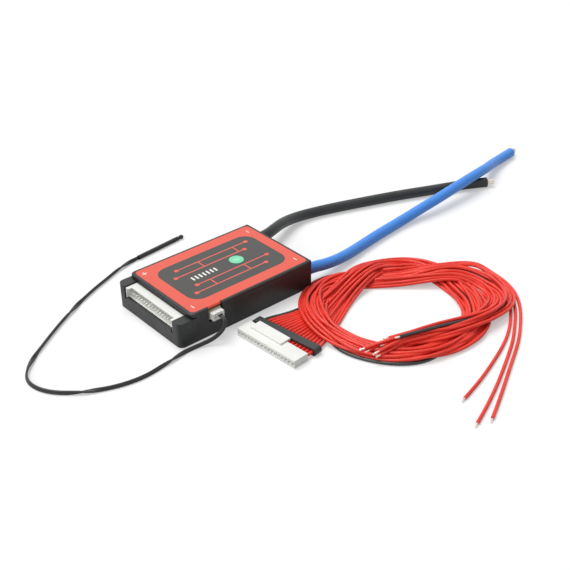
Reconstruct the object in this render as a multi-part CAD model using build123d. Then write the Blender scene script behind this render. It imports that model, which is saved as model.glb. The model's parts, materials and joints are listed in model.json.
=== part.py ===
"""Battery management board: a moulded black case that holds a protection board, with its leads.

Frame: origin at the middle of the case's underside, +X towards the two power cables,
-X towards the long 17-way socket, -Y towards the small sensor socket, +Z up.
All lengths are in millimetres.
"""

import os
from math import cos, radians, sin, tan

from build123d import *

# Case
case_length = 93.6
case_width = 58.6
case_height = 18.0
wall = 1.6
floor_thickness = 2.0
socket_corner_radius = 3.4
cable_corner_radius = 1.3
inner_corner_radius = 1.0
bottom_edge_round = 0.7
post_top_round = 0.6

# Socket end: two corner posts stand beside the long socket, lower than the cover
shelf_length = 8.2
post_inner_wall = 1.4

# Cover
cover_height = 2.7
cover_corner_radius = 3.0
cover_plate = 1.6
cover_top_round = 0.9
cover_skirt_gap = 0.3
cover_shadow_gap = 0.5
cover_shadow_depth = 0.6
cover_shadow_length = 3.5
lip_thickness = 1.2
lip_depth = 2.5
lip_clearance = 0.15
lip_end_gap = 4.0
lip_root = 0.2
lip_notch_depth = 8.0
catch_radius = 0.45
catch_clearance = 0.05
catch_length = 9.0
catch_places = (0.0, 28.0)

# Label and sticker
label_inset = 1.86
label_thickness = 0.25
label_corner_radius = 2.4
label_tab_drop = 1.35
label_tab_margin = 0.5
label_tab_bulge = 0.25
label_tab_hollow = 0.02
sticker_radius = 4.3
sticker_thickness = 0.08
sticker_x = 15.0
sticker_y = 0.3

# Board
board_headroom = 0.9
board_thickness = 1.6
board_clearance = 0.4
board_corner_radius = 2.2
board_screw_inset_x = 13.5
board_screw_inset_y = 5.3
board_screw_far_inset = 8.3
board_screw_row_y = 8.0
boss_radius = 2.6
screw_radius = 1.0
screw_clearance = 0.15
screw_head_radius = 1.9
screw_head_height = 1.2
screw_end_height = 0.8
screw_arm_share = 0.65
screw_drive_width = 0.5
screw_drive_depth = 0.5

# Long socket and its plug, 17 ways
sense_ways = 17
sense_pitch = 2.5
sense_header_height = 7.0
sense_header_setback = 0.8
sense_header_depth = 9.6
sense_header_side_wall = 0.9
sense_header_floor = 1.5
sense_header_roof = 0.55
sense_header_back_wall = 3.2
sense_roof_cutback = 2.5
sense_roof_cutback_margin = 1.7
sense_notch_clearance = 0.15
sense_foot_width = 1.3
sill_gap = 0.2
sense_pin = 0.64
sense_pin_reach = 4.9
sense_pin_height = 3.9
pin_hole_share = 0.75
pin_tail_reach = 0.6
sense_plug_fit = 0.1
sense_plug_depth = 9.8
sense_plug_x = -4.6
sense_plug_y = -59.2
sense_plug_turn = 4.0
sense_cavity = 1.9
sense_cavity_back = 2.2
plug_edge_round = 0.25
hood_rise = 1.1
hood_overhang = 4.9
hood_clearance = 0.1
hood_reach = 2.4
hood_length = 23.0
hood_offset = 5.0
contact_size = 1.7
contact_bore = 0.8
contact_length = 6.4
contact_setback = 0.6
contact_crimp = 1.5
wire_mouth_squeeze = 0.1
wire_mouth_overlap = 1.0

# Small sensor socket and its plug, 3 ways of which 2 are used
ntc_ways = 3
ntc_used = 2
ntc_pitch = 2.0
ntc_inset = 23.9
ntc_header_width = 8.4
ntc_header_height = 8.0
ntc_header_wall = 0.45
ntc_header_roof = 0.6
ntc_header_depth = 8.0
ntc_header_setback = 1.1
ntc_cavity_height = 4.5
ntc_cavity_depth = 5.6
ntc_notch_clearance = 0.55
ntc_pin = 0.5
ntc_pin_reach = 3.6
ntc_plug_fit = 0.08
ntc_plug_depth = 8.8
ntc_plug_proud = 2.7
ntc_cell = 1.5
ntc_contact_size = 1.4
ntc_contact_bore = 0.6
ntc_contact_length = 5.4
ntc_contact_setback = 0.6
ntc_contact_crimp = 0.8
ntc_mouth = 1.0
ntc_mouth_depth = 1.0
ntc_rib_width = 0.6
ntc_rib_height = 0.35
ntc_rib_length = 2.2

# Power parts on the board
fet_length = 6.6
fet_width = 6.1
fet_height = 2.3
fet_tab = 1.1
fet_tab_height = 0.5
fet_lead = 2.4
fet_lead_width = 0.8
fet_tab_inset = 0.6
fet_pitch = 7.4
fet_row_y = 10.0
fet_row_margin = 2.0
pad_thickness = 0.5
spreader_start_inset = 33.3
spreader_end_inset = 12.3
spreader_width = 30.0
spreader_thickness = 2.0
spreader_groove_depth = 0.8
spreader_groove_width = 2.0
spreader_groove_pitch = 5.0
spreader_foot = 5.0
busbar_thickness = 0.6
busbar_width = 7.0
busbar_corner_radius = 0.8
p_busbar_start_inset = 9.3
b_busbar_length = 23.0
shunt_length = 6.4
shunt_width = 2.9
shunt_height = 0.6
shunt_count = 3
shunt_pitch = 3.4
shunt_gap = 1.0
shunt_inset = 8.3
chip_size = 7.0
chip_height = 1.4
chip_lead = 1.0
chip_lead_width = 0.3
chip_lead_height = 0.25
chip_standoff = 0.1
chip_lead_count = 12
chip_lead_pitch = 0.5
chip_inset = 27.8
chip_y = 2.0
balance_count = 16
balance_length = 3.2
balance_width = 1.6
balance_height = 0.6
balance_gap = 1.6
can_radius = 2.5
can_height = 5.4
can_base = 0.9
can_top_round = 0.4
can_insets = ((21.8, 10.8), (28.3, 10.8), (28.8, 18.3))

# Cables and cords
power_cable_diameter = 6.8
power_gap = 0.3
power_cable_clearance = 0.1
power_conductor_diameter = 2.8
power_entry = 0.2
power_tail_length = 10.0
power_tip_length = 6.0
solder_margin = 0.5
solder_overrun = 0.6
solder_setback = 2.0
p_cable_inset = 7.0
b_cable_inset = 5.4
floor_lift = 0.05
ntc_lead_diameter = 2.4
sleeve_diameter = 2.8
sleeve_bore = 1.9
sleeve_length = 32.0
sleeve_x = -11.0
sleeve_y = 64.0
sleeve_turn = 6.0
sleeve_approach = 8.6
bead_radius = 1.1
bead_reach = 3.2
sense_wire_diameter = 1.9
sense_tip_diameter = 1.2
sense_tip_length = 2.6

# Band round the 17 sense wires
band_x = 1.2
band_turn = 8.0
band_width = 5.0
band_wall = 1.1
band_slot_clearance = 0.15
band_roundness = 0.85
band_overrun = 3.6

# Coil of sense wires
coil_height = 8.0
coil_edge_round = 2.6
coil_corner_radius = 16.0
coil_entry_radius = 4.0
coil_hole_radius = 9.0
coil_entry_x = 18.5
coil_entry_y = -63.0
coil_entry_pitch = 2.1
coil_entry_length = 44.0
coil_entry_depth = 4.0

# Derived places
half_length = case_length / 2
half_width = case_width / 2
shelf_height = case_height - cover_height
cover_start = -half_length + shelf_length
board_top = shelf_height - board_headroom - sense_header_height
board_bottom = board_top - board_thickness
board_screw_row_x = half_length - board_screw_far_inset
sense_face_x = -half_length + sense_header_setback
sense_back_x = sense_face_x + sense_header_depth
sense_row = (sense_ways - 1) * sense_pitch
sense_plug_length = sense_row + 3.0
sense_header_width = sense_plug_length + 2 * (sense_plug_fit + sense_header_side_wall)
sense_cavity_low = board_top + sense_header_floor
sense_cavity_high = board_top + sense_header_height - sense_header_roof
sense_plug_height = sense_cavity_high - sense_cavity_low - 2 * sense_plug_fit
ntc_cavity_high = board_top + ntc_header_height - ntc_header_roof
ntc_cavity_low = ntc_cavity_high - ntc_cavity_height
ntc_mid = (ntc_cavity_high + ntc_cavity_low) / 2
ntc_x = -half_length + ntc_inset
ntc_face_y = -half_width + ntc_header_setback
ntc_plug_rear_y = -half_width - ntc_plug_proud
ntc_lead_x = ntc_x + ntc_pitch / 2
fet_top = board_top + fet_height
spreader_low = fet_top + pad_thickness
spreader_start = -half_length + spreader_start_inset
spreader_end = half_length - spreader_end_inset
spreader_length = spreader_end - spreader_start
spreader_x = (spreader_start + spreader_end) / 2
fet_count = int((spreader_length - fet_length - 2 * fet_row_margin) / fet_pitch) + 1
fet_first_x = spreader_x - (fet_count - 1) * fet_pitch / 2
chip_x = -half_length + chip_inset
p_cable_y = half_width - p_cable_inset
b_cable_y = -half_width + b_cable_inset
cable_height = board_top + busbar_thickness + power_conductor_diameter / 2
cable_start_x = half_length - wall - power_entry
board_end_x = half_length - wall - board_clearance
p_busbar_length = board_end_x - spreader_start - p_busbar_start_inset
power_floor = power_cable_diameter / 2 + floor_lift
power_hump = 3 * power_floor + floor_lift + power_gap
sense_floor = sense_wire_diameter / 2 + floor_lift
band_half_height = band_wall + band_slot_clearance + sense_wire_diameter / 2
ntc_floor = ntc_lead_diameter / 2 + floor_lift
band_height = sense_plug_height / 2
band_y = sense_plug_y + (band_x - sense_plug_x) * tan(radians(sense_plug_turn))

# Routes of the free cords, from where each one starts to its far end
P_CABLE_ROUTE = [
    (cable_start_x, p_cable_y, cable_height),
    (55, p_cable_y, cable_height),
    (65, 25.5, 9.2),
    (73.5, 29.2, 8.0),
    (82, 32.4, 6.2),
    (91.5, 34.5, 4.4),
    (102, 34.0, power_floor),
    (115, 30.4, power_floor),
    (127, 26.4, power_floor),
    (144, 20.4, power_floor),
    (165, 12.7, power_floor),
    (186, 3.6, power_floor),
    (204, -3.7, power_floor),
    (214, -8.2, power_floor),
    (223.5, -13.7, power_floor),
]
B_CABLE_ROUTE = [
    (cable_start_x, b_cable_y, cable_height),
    (55.5, b_cable_y, cable_height),
    (68, -23.6, 7.2),
    (81, -21.8, 5.2),
    (96, -18.7, power_floor),
    (114.5, -15.8, power_floor),
    (131.5, -13.9, power_floor),
    (148.5, -11.4, power_floor),
    (162, -10.0, power_floor),
    (175, -11.4, 6.2),
    (190, -13.4, 10.3),
    (204, -11.8, power_hump),
    (221, -9.6, power_hump),
    (235, -4.2, 7.2),
    (247, 0.8, 4.6),
    (259, 3.5, power_floor),
    (275, 5.6, power_floor),
]
NTC_ROUTE = [
    (ntc_lead_x, ntc_plug_rear_y, ntc_mid),
    (ntc_lead_x, ntc_plug_rear_y - 4.6, ntc_mid),
    (ntc_lead_x - 2.6, ntc_plug_rear_y - 6.1, ntc_mid - 4.6),
    (-30.4, ntc_plug_rear_y - 4.6, 3.5),
    (-38.6, -33.5, ntc_floor),
    (-48.6, -33.1, ntc_floor),
    (-61, -35.4, ntc_floor),
    (-76, -37.2, ntc_floor),
    (-91, -34.2, ntc_floor),
    (-104, -27.6, ntc_floor),
    (-114.5, -19.8, ntc_floor),
    (-120.6, -10.2, ntc_floor),
    (-121.6, -0.4, ntc_floor),
    (-117.2, 8.0, ntc_floor),
    (-107.5, 16.4, ntc_floor),
    (-95, 25.4, ntc_floor),
    (-81, 34.8, ntc_floor),
    (-65.5, 43.9, ntc_floor),
    (-50.5, 51.4, ntc_floor),
    (-38, 56.4, ntc_floor),
    (-28.4, 60.6, ntc_floor),
    (sleeve_x - sleeve_approach, sleeve_y - sleeve_approach * tan(radians(sleeve_turn)), sleeve_diameter / 2),
    (sleeve_x, sleeve_y, sleeve_diameter / 2),
]
SENSE_END_ROUTES = [
    [(99, -131.2), (86, -138.4), (72, -143.9), (58, -148.7), (45, -152.5), (33, -155.4)],
    [(104, -131.0), (89, -141.0), (73, -149.4), (56, -157.8), (39, -165.3), (23, -171.5)],
    [(108, -131.6), (92, -142.6), (75, -151.6), (59, -159.9), (44.5, -167.4), (31, -174.0)],
]
COIL_OUTLINE = [
    (coil_entry_x, coil_entry_y - coil_entry_length / 2),
    (27, -117),
    (48, -134),
    (82, -139),
    (111, -129),
    (131, -107),
    (137, -82),
    (123, -60),
    (101, -35),
    (77, -26.3),
    (46, -31),
    (coil_entry_x, coil_entry_y + coil_entry_length / 2),
]
COIL_HOLE = [(35, -80), (45, -98), (68, -110), (94, -115), (110, -96), (101, -73), (80, -57), (50, -59)]


def rounded_rectangle(x0, x1, y0, y1, low_x_radius, high_x_radius):
    """Plan outline with one corner radius at its -X end and another at its +X end."""
    plan = Pos((x0 + x1) / 2, (y0 + y1) / 2) * Rectangle(x1 - x0, y1 - y0)
    corners = plan.vertices().sort_by(Axis.X)
    plan = fillet(corners[:2], low_x_radius)
    corners = plan.vertices().sort_by(Axis.X)
    return fillet(corners[-2:], high_x_radius)


def prism(plan, low, high):
    """Solid over a plan outline from one height to another."""
    return extrude(Pos(0, 0, low) * plan, high - low)


def block(x0, x1, y0, y1, z0, z1):
    """Box given by its limits."""
    return Pos((x0 + x1) / 2, (y0 + y1) / 2, (z0 + z1) / 2) * Box(x1 - x0, y1 - y0, z1 - z0)


def upright(x, y, z0, z1, radius):
    """Vertical round bar."""
    return Pos(x, y, (z0 + z1) / 2) * Cylinder(radius, z1 - z0)


def level_bar(x0, x1, y, z, radius):
    """Round bar along X."""
    return Pos((x0 + x1) / 2, y, z) * Rot(0, 90, 0) * Cylinder(radius, x1 - x0)


def one_solid(shape):
    """The single solid of a shape that should have just one."""
    solids = shape.solids()
    assert len(solids) == 1, f"{len(solids)} solids"
    return solids[0]


def group(pieces):
    """Several separate solids of one sub-part."""
    return Compound(children=[one_solid(piece) for piece in pieces])


def sense_row_places():
    """Y of each of the 17 ways, from the far side (+Y) to the near side (-Y)."""
    return [sense_row / 2 - i * sense_pitch for i in range(sense_ways)]


def board_screw_places():
    """Centres of the four board screws."""
    near_socket = -half_length + board_screw_inset_x
    beside = half_width - board_screw_inset_y
    return [
        (near_socket, beside),
        (near_socket, -beside),
        (board_screw_row_x, board_screw_row_y),
        (board_screw_row_x, -board_screw_row_y),
    ]


def spreader_screw_places():
    """Centres of the two screws that hold the heat spreader down."""
    reach = spreader_length / 2 - spreader_foot / 2
    return [(spreader_x - reach, 0), (spreader_x + reach, 0)]


def cover_catches(radius, length):
    """Half-round ridges along both long sides, on the cover's lip or as grooves in the tray."""
    y = half_width - wall - lip_clearance
    z = shelf_height - lip_depth / 2
    bars = []
    for x in catch_places:
        for side in (-1, 1):
            bars.append(level_bar(x - length / 2, x + length / 2, side * y, z, radius))
    return bars


def ntc_notch():
    """Gap in the -Y wall for the sensor socket, up through the cover's rim."""
    half = ntc_header_width / 2 + ntc_notch_clearance
    low = ntc_cavity_low - ntc_header_roof - ntc_notch_clearance
    inner = -half_width + max(wall, label_inset)
    return block(ntc_x - half, ntc_x + half, -half_width - 1, inner, low, case_height + 1)


def base_tray():
    """Open moulded tray with corner posts, a stepped socket notch, cable holes and screw bosses."""
    plan = rounded_rectangle(
        -half_length, half_length, -half_width, half_width, socket_corner_radius, cable_corner_radius
    )
    tray = prism(plan, 0, shelf_height)
    tray = fillet(tray.faces().sort_by(Axis.Z)[0].edges(), bottom_edge_round)
    inside = rounded_rectangle(
        -half_length + wall,
        half_length - wall,
        -half_width + wall,
        half_width - wall,
        max(socket_corner_radius - wall, inner_corner_radius),
        max(cable_corner_radius - wall, inner_corner_radius),
    )
    tray -= prism(inside, floor_thickness, shelf_height)
    tray += corner_posts()
    tray -= sense_notch()
    tray -= ntc_notch()
    for y in (p_cable_y, b_cable_y):
        hole = power_cable_diameter / 2 + power_cable_clearance
        tray -= level_bar(half_length - wall - 1, half_length + 1, y, cable_height, hole)
    for groove in cover_catches(catch_radius + catch_clearance, catch_length + 1):
        tray -= groove
    for x, y in board_screw_places() + spreader_screw_places():
        tray += upright(x, y, floor_thickness, board_bottom, boss_radius)
        tray -= upright(x, y, screw_end_height, board_bottom, screw_radius)
    return one_solid(tray)


def corner_posts():
    """Closed deck and inner wall on each side of the long socket."""
    start = sense_header_width / 2 + sense_notch_clearance
    plan = rounded_rectangle(
        -half_length, cover_start + wall, -half_width, half_width, socket_corner_radius, 0.5
    )
    deck = prism(plan, shelf_height - wall, shelf_height)
    deck = fillet(deck.faces().sort_by(Axis.Z)[-1].edges().sort_by(Axis.X)[:3], post_top_round)
    posts = deck - block(-half_length, half_length, -start, start, 0, case_height)
    for side in (-1, 1):
        near, far = sorted((side * start, side * (start + post_inner_wall)))
        posts += block(-half_length + wall / 2, cover_start + wall, near, far, board_top, shelf_height - wall / 2)
    return posts


def sense_notch():
    """Room for the socket: deep at its two feet, with a raised sill of the end wall between them."""
    half = sense_header_width / 2 + sense_notch_clearance
    notch = block(-half_length - 1, sense_back_x, -half, half, board_top, case_height)
    sill_half = sense_header_width / 2 - sense_foot_width
    sill = block(-half_length - 1, -half_length + wall, -sill_half, sill_half, 0, sense_cavity_low)
    return notch - sill


def top_cover():
    """Moulded cover with a label recess, an end wall over the socket and a lip with catches."""
    plan = rounded_rectangle(
        cover_start, half_length, -half_width, half_width, cover_corner_radius, cable_corner_radius
    )
    cover = prism(plan, shelf_height, case_height)
    cover = fillet(cover.faces().sort_by(Axis.Z)[-1].edges(), cover_top_round)
    inside = rounded_rectangle(
        cover_start + wall,
        half_length - wall,
        -half_width + wall,
        half_width - wall,
        max(cover_corner_radius - wall, inner_corner_radius),
        max(cable_corner_radius - wall, inner_corner_radius),
    )
    cover -= prism(inside, shelf_height, case_height - cover_plate)
    cover -= prism(label_plan(), case_height - label_thickness, case_height)
    skirt_half = sense_header_width / 2 - sense_notch_clearance
    header_top = board_top + sense_header_height
    cover += block(
        cover_start, cover_start + wall, -skirt_half, skirt_half, header_top + cover_skirt_gap, shelf_height + wall
    )
    cover -= shadow_groove()
    cover += cover_lips()
    cover -= ntc_notch()
    return one_solid(cover)


def shadow_groove():
    """Groove under the cover's -X edge and round its two corners, which shows as a dark line."""
    outer = rounded_rectangle(
        cover_start, half_length, -half_width, half_width, cover_corner_radius, cable_corner_radius
    )
    inner = rounded_rectangle(
        cover_start + cover_shadow_depth,
        half_length,
        -half_width + cover_shadow_depth,
        half_width - cover_shadow_depth,
        cover_corner_radius - cover_shadow_depth,
        cable_corner_radius,
    )
    ring = prism(outer - inner, shelf_height, shelf_height + cover_shadow_gap)
    end = cover_start + cover_shadow_length
    return ring & block(cover_start, end, -half_width, half_width, shelf_height, case_height)


def cover_lips():
    """Lip inside each long wall of the tray, clear of the sensor socket's notch."""
    outer = half_width - wall - lip_clearance
    start = cover_start + wall + lip_end_gap
    end = half_length - wall - lip_end_gap
    lips = None
    for side in (-1, 1):
        near, far = sorted((side * (outer - lip_thickness), side * outer))
        lip = block(start, end, near, far, shelf_height - lip_depth, case_height - cover_plate + lip_root)
        lips = lip if lips is None else lips + lip
    for ridge in cover_catches(catch_radius, catch_length):
        lips += ridge
    reach = ntc_header_width / 2 + 2 * ntc_notch_clearance
    near_edge = -half_width + lip_notch_depth
    return lips - block(ntc_x - reach, ntc_x + reach, -half_width, near_edge, 0, case_height - cover_plate)


def label_plan():
    """Outline of the label and of its recess."""
    return rounded_rectangle(
        cover_start + label_inset,
        half_length - label_inset,
        -half_width + label_inset,
        half_width - label_inset,
        label_corner_radius,
        label_corner_radius,
    )


def top_label():
    """Printed film in the cover's recess, with a tab that droops over the sensor socket."""
    label = prism(label_plan(), case_height - label_thickness, case_height)
    half = ntc_header_width / 2 + ntc_notch_clearance - label_tab_margin
    edge = -half_width + label_inset
    tip = ntc_face_y
    top = case_height
    middle = (edge + tip) / 2
    waist = top - label_tab_drop / 4
    low = top - label_tab_drop
    back = tip + label_thickness
    with BuildPart() as tab:
        with BuildSketch(Plane.YZ.offset(ntc_x - half)):
            with BuildLine():
                ThreePointArc((edge, top), (middle - label_tab_bulge, waist), (tip, low))
                Line((tip, low), (back, low))
                under = (middle - label_tab_hollow, waist - label_thickness)
                ThreePointArc((back, low), under, (edge, top - label_thickness))
                Line((edge, top - label_thickness), (edge, top))
            make_face()
        extrude(amount=2 * half)
    return one_solid(label + tab.part)


def inspection_sticker():
    """Small round sticker on the label."""
    return upright(sticker_x, sticker_y, case_height, case_height + sticker_thickness, sticker_radius)


def sense_tail_places():
    """Where the long socket's pins pass down through the board."""
    x = sense_back_x - sense_header_back_wall / 2
    return [(x, y) for y in sense_row_places()]


def ntc_tail_places():
    """Where the sensor socket's pins pass down through the board."""
    y = ntc_face_y + (ntc_header_depth + ntc_cavity_depth) / 2
    return [(ntc_x + (i - (ntc_ways - 1) / 2) * ntc_pitch, y) for i in range(ntc_ways)]


def circuit_board():
    """Board with rounded corners, screw holes and a hole for each socket pin."""
    gap = wall + board_clearance
    plan = rounded_rectangle(
        -half_length + gap,
        board_end_x,
        -half_width + gap,
        half_width - gap,
        board_corner_radius,
        board_corner_radius,
    )
    board = prism(plan, board_bottom, board_top)
    for x, y in board_screw_places() + spreader_screw_places():
        board -= upright(x, y, board_bottom, board_top, screw_radius + screw_clearance)
    for x, y in sense_tail_places():
        board -= upright(x, y, board_bottom, board_top, sense_pin * pin_hole_share)
    for x, y in ntc_tail_places():
        board -= upright(x, y, board_bottom, board_top, ntc_pin * pin_hole_share)
    return one_solid(board)


def screw(x, y, seat):
    """Pan-head screw with a cross recess, its head on the given seat."""
    body = upright(x, y, screw_end_height, seat, screw_radius)
    body += upright(x, y, seat, seat + screw_head_height, screw_head_radius)
    low = seat + screw_head_height - screw_drive_depth
    high = seat + screw_head_height
    arm = screw_head_radius * screw_arm_share
    body -= block(x - arm, x + arm, y - screw_drive_width / 2, y + screw_drive_width / 2, low, high)
    body -= block(x - screw_drive_width / 2, x + screw_drive_width / 2, y - arm, y + arm, low, high)
    return body


def sense_header_pins():
    """Square pins that run from the socket through its back wall and down into the board."""
    pins = []
    front = sense_back_x - sense_header_back_wall - sense_pin_reach
    z = board_top + sense_pin_height
    half = sense_pin / 2
    for x, y in sense_tail_places():
        pin = block(front, x + half, y - half, y + half, z - half, z + half)
        pin += block(x - half, x + half, y - half, y + half, board_bottom - pin_tail_reach, z + half)
        pins.append(pin)
    return pins


def sense_header(pins):
    """Side-entry shroud: its side walls stand in the end wall's gap, its floor stops behind the sill."""
    half = sense_header_width / 2
    top = board_top + sense_header_height
    face = sense_face_x
    cavity_half = half - sense_header_side_wall
    body = block(face, sense_back_x, -half, half, board_top, top)
    cavity_end = sense_back_x - sense_header_back_wall
    body -= block(face, cavity_end, -cavity_half, cavity_half, sense_cavity_low, sense_cavity_high)
    sill_half = half - sense_foot_width
    sill_end = -half_length + wall + sill_gap
    body -= block(face, sill_end, -sill_half, sill_half, board_top, sense_cavity_low)
    cut_half = cavity_half - sense_roof_cutback_margin
    body -= block(face, face + sense_roof_cutback, -cut_half, cut_half, sense_cavity_high, top)
    for pin in pins:
        body -= pin
    return one_solid(body)


def ntc_header_pins():
    """Square pins of the sensor socket."""
    pins = []
    half = ntc_pin / 2
    front = ntc_face_y + ntc_cavity_depth - ntc_pin_reach
    for x, y in ntc_tail_places():
        pin = block(x - half, x + half, front, y + half, ntc_mid - half, ntc_mid + half)
        pin += block(x - half, x + half, y - half, y + half, board_bottom - pin_tail_reach, ntc_mid + half)
        pins.append(pin)
    return pins


def ntc_header(pins):
    """Side-entry sensor socket that stands in the notch of the -Y wall."""
    half = ntc_header_width / 2
    back = ntc_face_y + ntc_header_depth
    board_edge = -half_width + wall + board_clearance
    body = block(ntc_x - half, ntc_x + half, ntc_face_y, back, board_top, board_top + ntc_header_height)
    foot_top = ntc_cavity_low - ntc_header_roof
    body -= block(ntc_x - half, ntc_x + half, ntc_face_y, board_edge, board_top, foot_top)
    hole = half - ntc_header_wall
    body -= block(
        ntc_x - hole, ntc_x + hole, ntc_face_y, ntc_face_y + ntc_cavity_depth, ntc_cavity_low, ntc_cavity_high
    )
    for pin in pins:
        body -= pin
    return one_solid(body)


def used_ntc_places():
    """X of the sensor plug's ways that hold a wire."""
    return [ntc_x + i * ntc_pitch for i in range(ntc_used)]


def ntc_plug():
    """Plug in the sensor socket, with three cells and two low ribs on its outer end."""
    half = ntc_header_width / 2 - ntc_header_wall - ntc_plug_fit
    low = ntc_cavity_low + ntc_plug_fit
    high = ntc_cavity_high - ntc_plug_fit
    front = ntc_plug_rear_y + ntc_plug_depth
    plug = block(ntc_x - half, ntc_x + half, ntc_plug_rear_y, front, low, high)
    plug = fillet(plug.edges().filter_by(Axis.Y), plug_edge_round)
    for i in range(ntc_ways):
        x = ntc_x + (i - (ntc_ways - 1) / 2) * ntc_pitch
        cell = ntc_cell / 2
        back = ntc_plug_rear_y + ntc_mouth_depth
        plug -= block(x - cell, x + cell, back, front, ntc_mid - cell, ntc_mid + cell)
        mouth = ntc_mouth / 2
        plug -= block(x - mouth, x + mouth, ntc_plug_rear_y, back, ntc_mid - mouth, ntc_mid + mouth)
    for side in (-1, 1):
        rib_x = ntc_x + side * ntc_pitch / 2
        rib = ntc_rib_width / 2
        rib_end = ntc_plug_rear_y + ntc_rib_length
        plug += block(rib_x - rib, rib_x + rib, ntc_plug_rear_y, rib_end, high, high + ntc_rib_height)
    return one_solid(plug)


def ntc_contacts():
    """Crimped sockets in the sensor plug's two used cells."""
    contacts = []
    half = ntc_contact_size / 2
    front = ntc_plug_rear_y + ntc_plug_depth - ntc_contact_setback
    bore_end = front - ntc_contact_length + ntc_contact_crimp
    for x in used_ntc_places():
        contact = block(x - half, x + half, front - ntc_contact_length, front, ntc_mid - half, ntc_mid + half)
        bore = ntc_contact_bore / 2
        contact -= block(x - bore, x + bore, bore_end, front, ntc_mid - bore, ntc_mid + bore)
        contacts.append(contact)
    return contacts


def fet(x, y, outward):
    """Surface-mount power transistor: body, heat tab on its outer side, two leads on the inner side."""
    half_x = fet_length / 2
    half_y = fet_width / 2
    body = block(x - half_x, x + half_x, y - half_y, y + half_y, board_top, fet_top)
    tab_near, tab_far = sorted((y + outward * half_y, y + outward * (half_y + fet_tab)))
    tab_half = half_x - fet_tab_inset
    body += block(x - tab_half, x + tab_half, tab_near, tab_far, board_top, board_top + fet_tab_height)
    lead_near, lead_far = sorted((y - outward * half_y, y - outward * (half_y + fet_lead)))
    for step in (-1, 1):
        lead_x = x + step * fet_length / 3
        half = fet_lead_width / 2
        body += block(lead_x - half, lead_x + half, lead_near, lead_far, board_top, board_top + fet_tab_height)
    return body


def fet_row(side):
    """One row of power transistors."""
    return [fet(fet_first_x + i * fet_pitch, side * fet_row_y, side) for i in range(fet_count)]


def thermal_pads():
    """Soft pad between each row of transistors and the heat spreader."""
    start = fet_first_x - fet_length / 2
    end = fet_first_x + (fet_count - 1) * fet_pitch + fet_length / 2
    pads = []
    for side in (-1, 1):
        y = side * fet_row_y
        pads.append(block(start, end, y - fet_width / 2, y + fet_width / 2, fet_top, spreader_low))
    return pads


def heat_spreader():
    """Aluminium plate over the transistors, grooved on top, with a screwed foot at each end."""
    half_x = spreader_length / 2
    half_y = spreader_width / 2
    top = spreader_low + spreader_thickness
    plate = block(spreader_x - half_x, spreader_x + half_x, -half_y, half_y, spreader_low, top)
    groove = spreader_groove_width / 2
    groove_low = top - spreader_groove_depth
    grooves = int((half_y - spreader_groove_pitch) / spreader_groove_pitch)
    for side in (-1, 1):
        for i in range(1, grooves + 1):
            y = side * (i * spreader_groove_pitch + groove)
            plate -= block(spreader_start, spreader_end, y - groove, y + groove, groove_low, top)
    for x, y in spreader_screw_places():
        half = spreader_foot / 2
        plate += block(x - half, x + half, y - half, y + half, board_top, spreader_low)
        plate -= upright(x, y, board_top, top, screw_radius + screw_clearance)
    return one_solid(plate)


def busbar(y, length):
    """Flat tinned strip that ends under a cable's soldered tail."""
    end = board_end_x
    half = busbar_width / 2
    strip = block(end - length, end, y - half, y + half, board_top, board_top + busbar_thickness)
    return fillet(strip.edges().filter_by(Axis.Z), busbar_corner_radius)


def shunt_resistors():
    """Metal-strip resistors between the battery busbar and the transistors."""
    end = board_end_x - b_busbar_length - shunt_gap
    strips = []
    for i in range(shunt_count):
        y = -half_width + shunt_inset + (i - (shunt_count - 1) / 2) * shunt_pitch
        half = shunt_width / 2
        strips.append(block(end - shunt_length, end, y - half, y + half, board_top, board_top + shunt_height))
    return strips


def monitor_chip():
    """Cell-monitoring chip with leads on two sides."""
    half = chip_size / 2
    low = board_top + chip_standoff
    body = block(chip_x - half, chip_x + half, chip_y - half, chip_y + half, low, board_top + chip_height)
    row = (chip_lead_count - 1) * chip_lead_pitch
    for i in range(chip_lead_count):
        x = chip_x - row / 2 + i * chip_lead_pitch
        w = chip_lead_width / 2
        reach = half + chip_lead
        body += block(x - w, x + w, chip_y - reach, chip_y + reach, board_top, board_top + chip_lead_height)
    return body


def balance_resistors():
    """One balancing resistor for each cell, in a row behind the long socket."""
    start = sense_back_x + balance_gap
    chips = []
    for i in range(balance_count):
        y = ((balance_count - 1) / 2 - i) * sense_pitch
        half = balance_width / 2
        chips.append(block(start, start + balance_length, y - half, y + half, board_top, board_top + balance_height))
    return chips


def filter_capacitors():
    """Can capacitors on square bases."""
    cans = []
    for inset_x, inset_y in can_insets:
        x = -half_length + inset_x
        y = half_width - inset_y
        base = block(x - can_radius, x + can_radius, y - can_radius, y + can_radius, board_top, board_top + can_base)
        can = upright(x, y, board_top + can_base, board_top + can_height, can_radius)
        can = fillet(can.edges().sort_by(Axis.Z)[-1], can_top_round)
        cans.append(base + can)
    return cans


def cable_tail(y):
    """Bare end of a power cable inside the case, in its solder on the busbar."""
    radius = power_conductor_diameter / 2
    end = cable_start_x - power_tail_length
    tail = level_bar(end, cable_start_x, y, cable_height, radius)
    low = board_top + busbar_thickness
    near = cable_start_x - solder_setback
    half = radius + solder_margin
    solder = block(end - solder_overrun, near, y - half, y + half, low, cable_height)
    return one_solid(tail + solder)


def corner_radii(route):
    """Largest arc that each corner's two runs allow."""
    points = [Vector(*p) for p in route]
    radii = []
    for a, b, c in zip(points, points[1:], points[2:]):
        turn = radians((b - a).get_angle(c - b))
        radii.append(0.45 * min((b - a).length, (c - b).length) / tan(turn / 2))
    return radii


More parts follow.
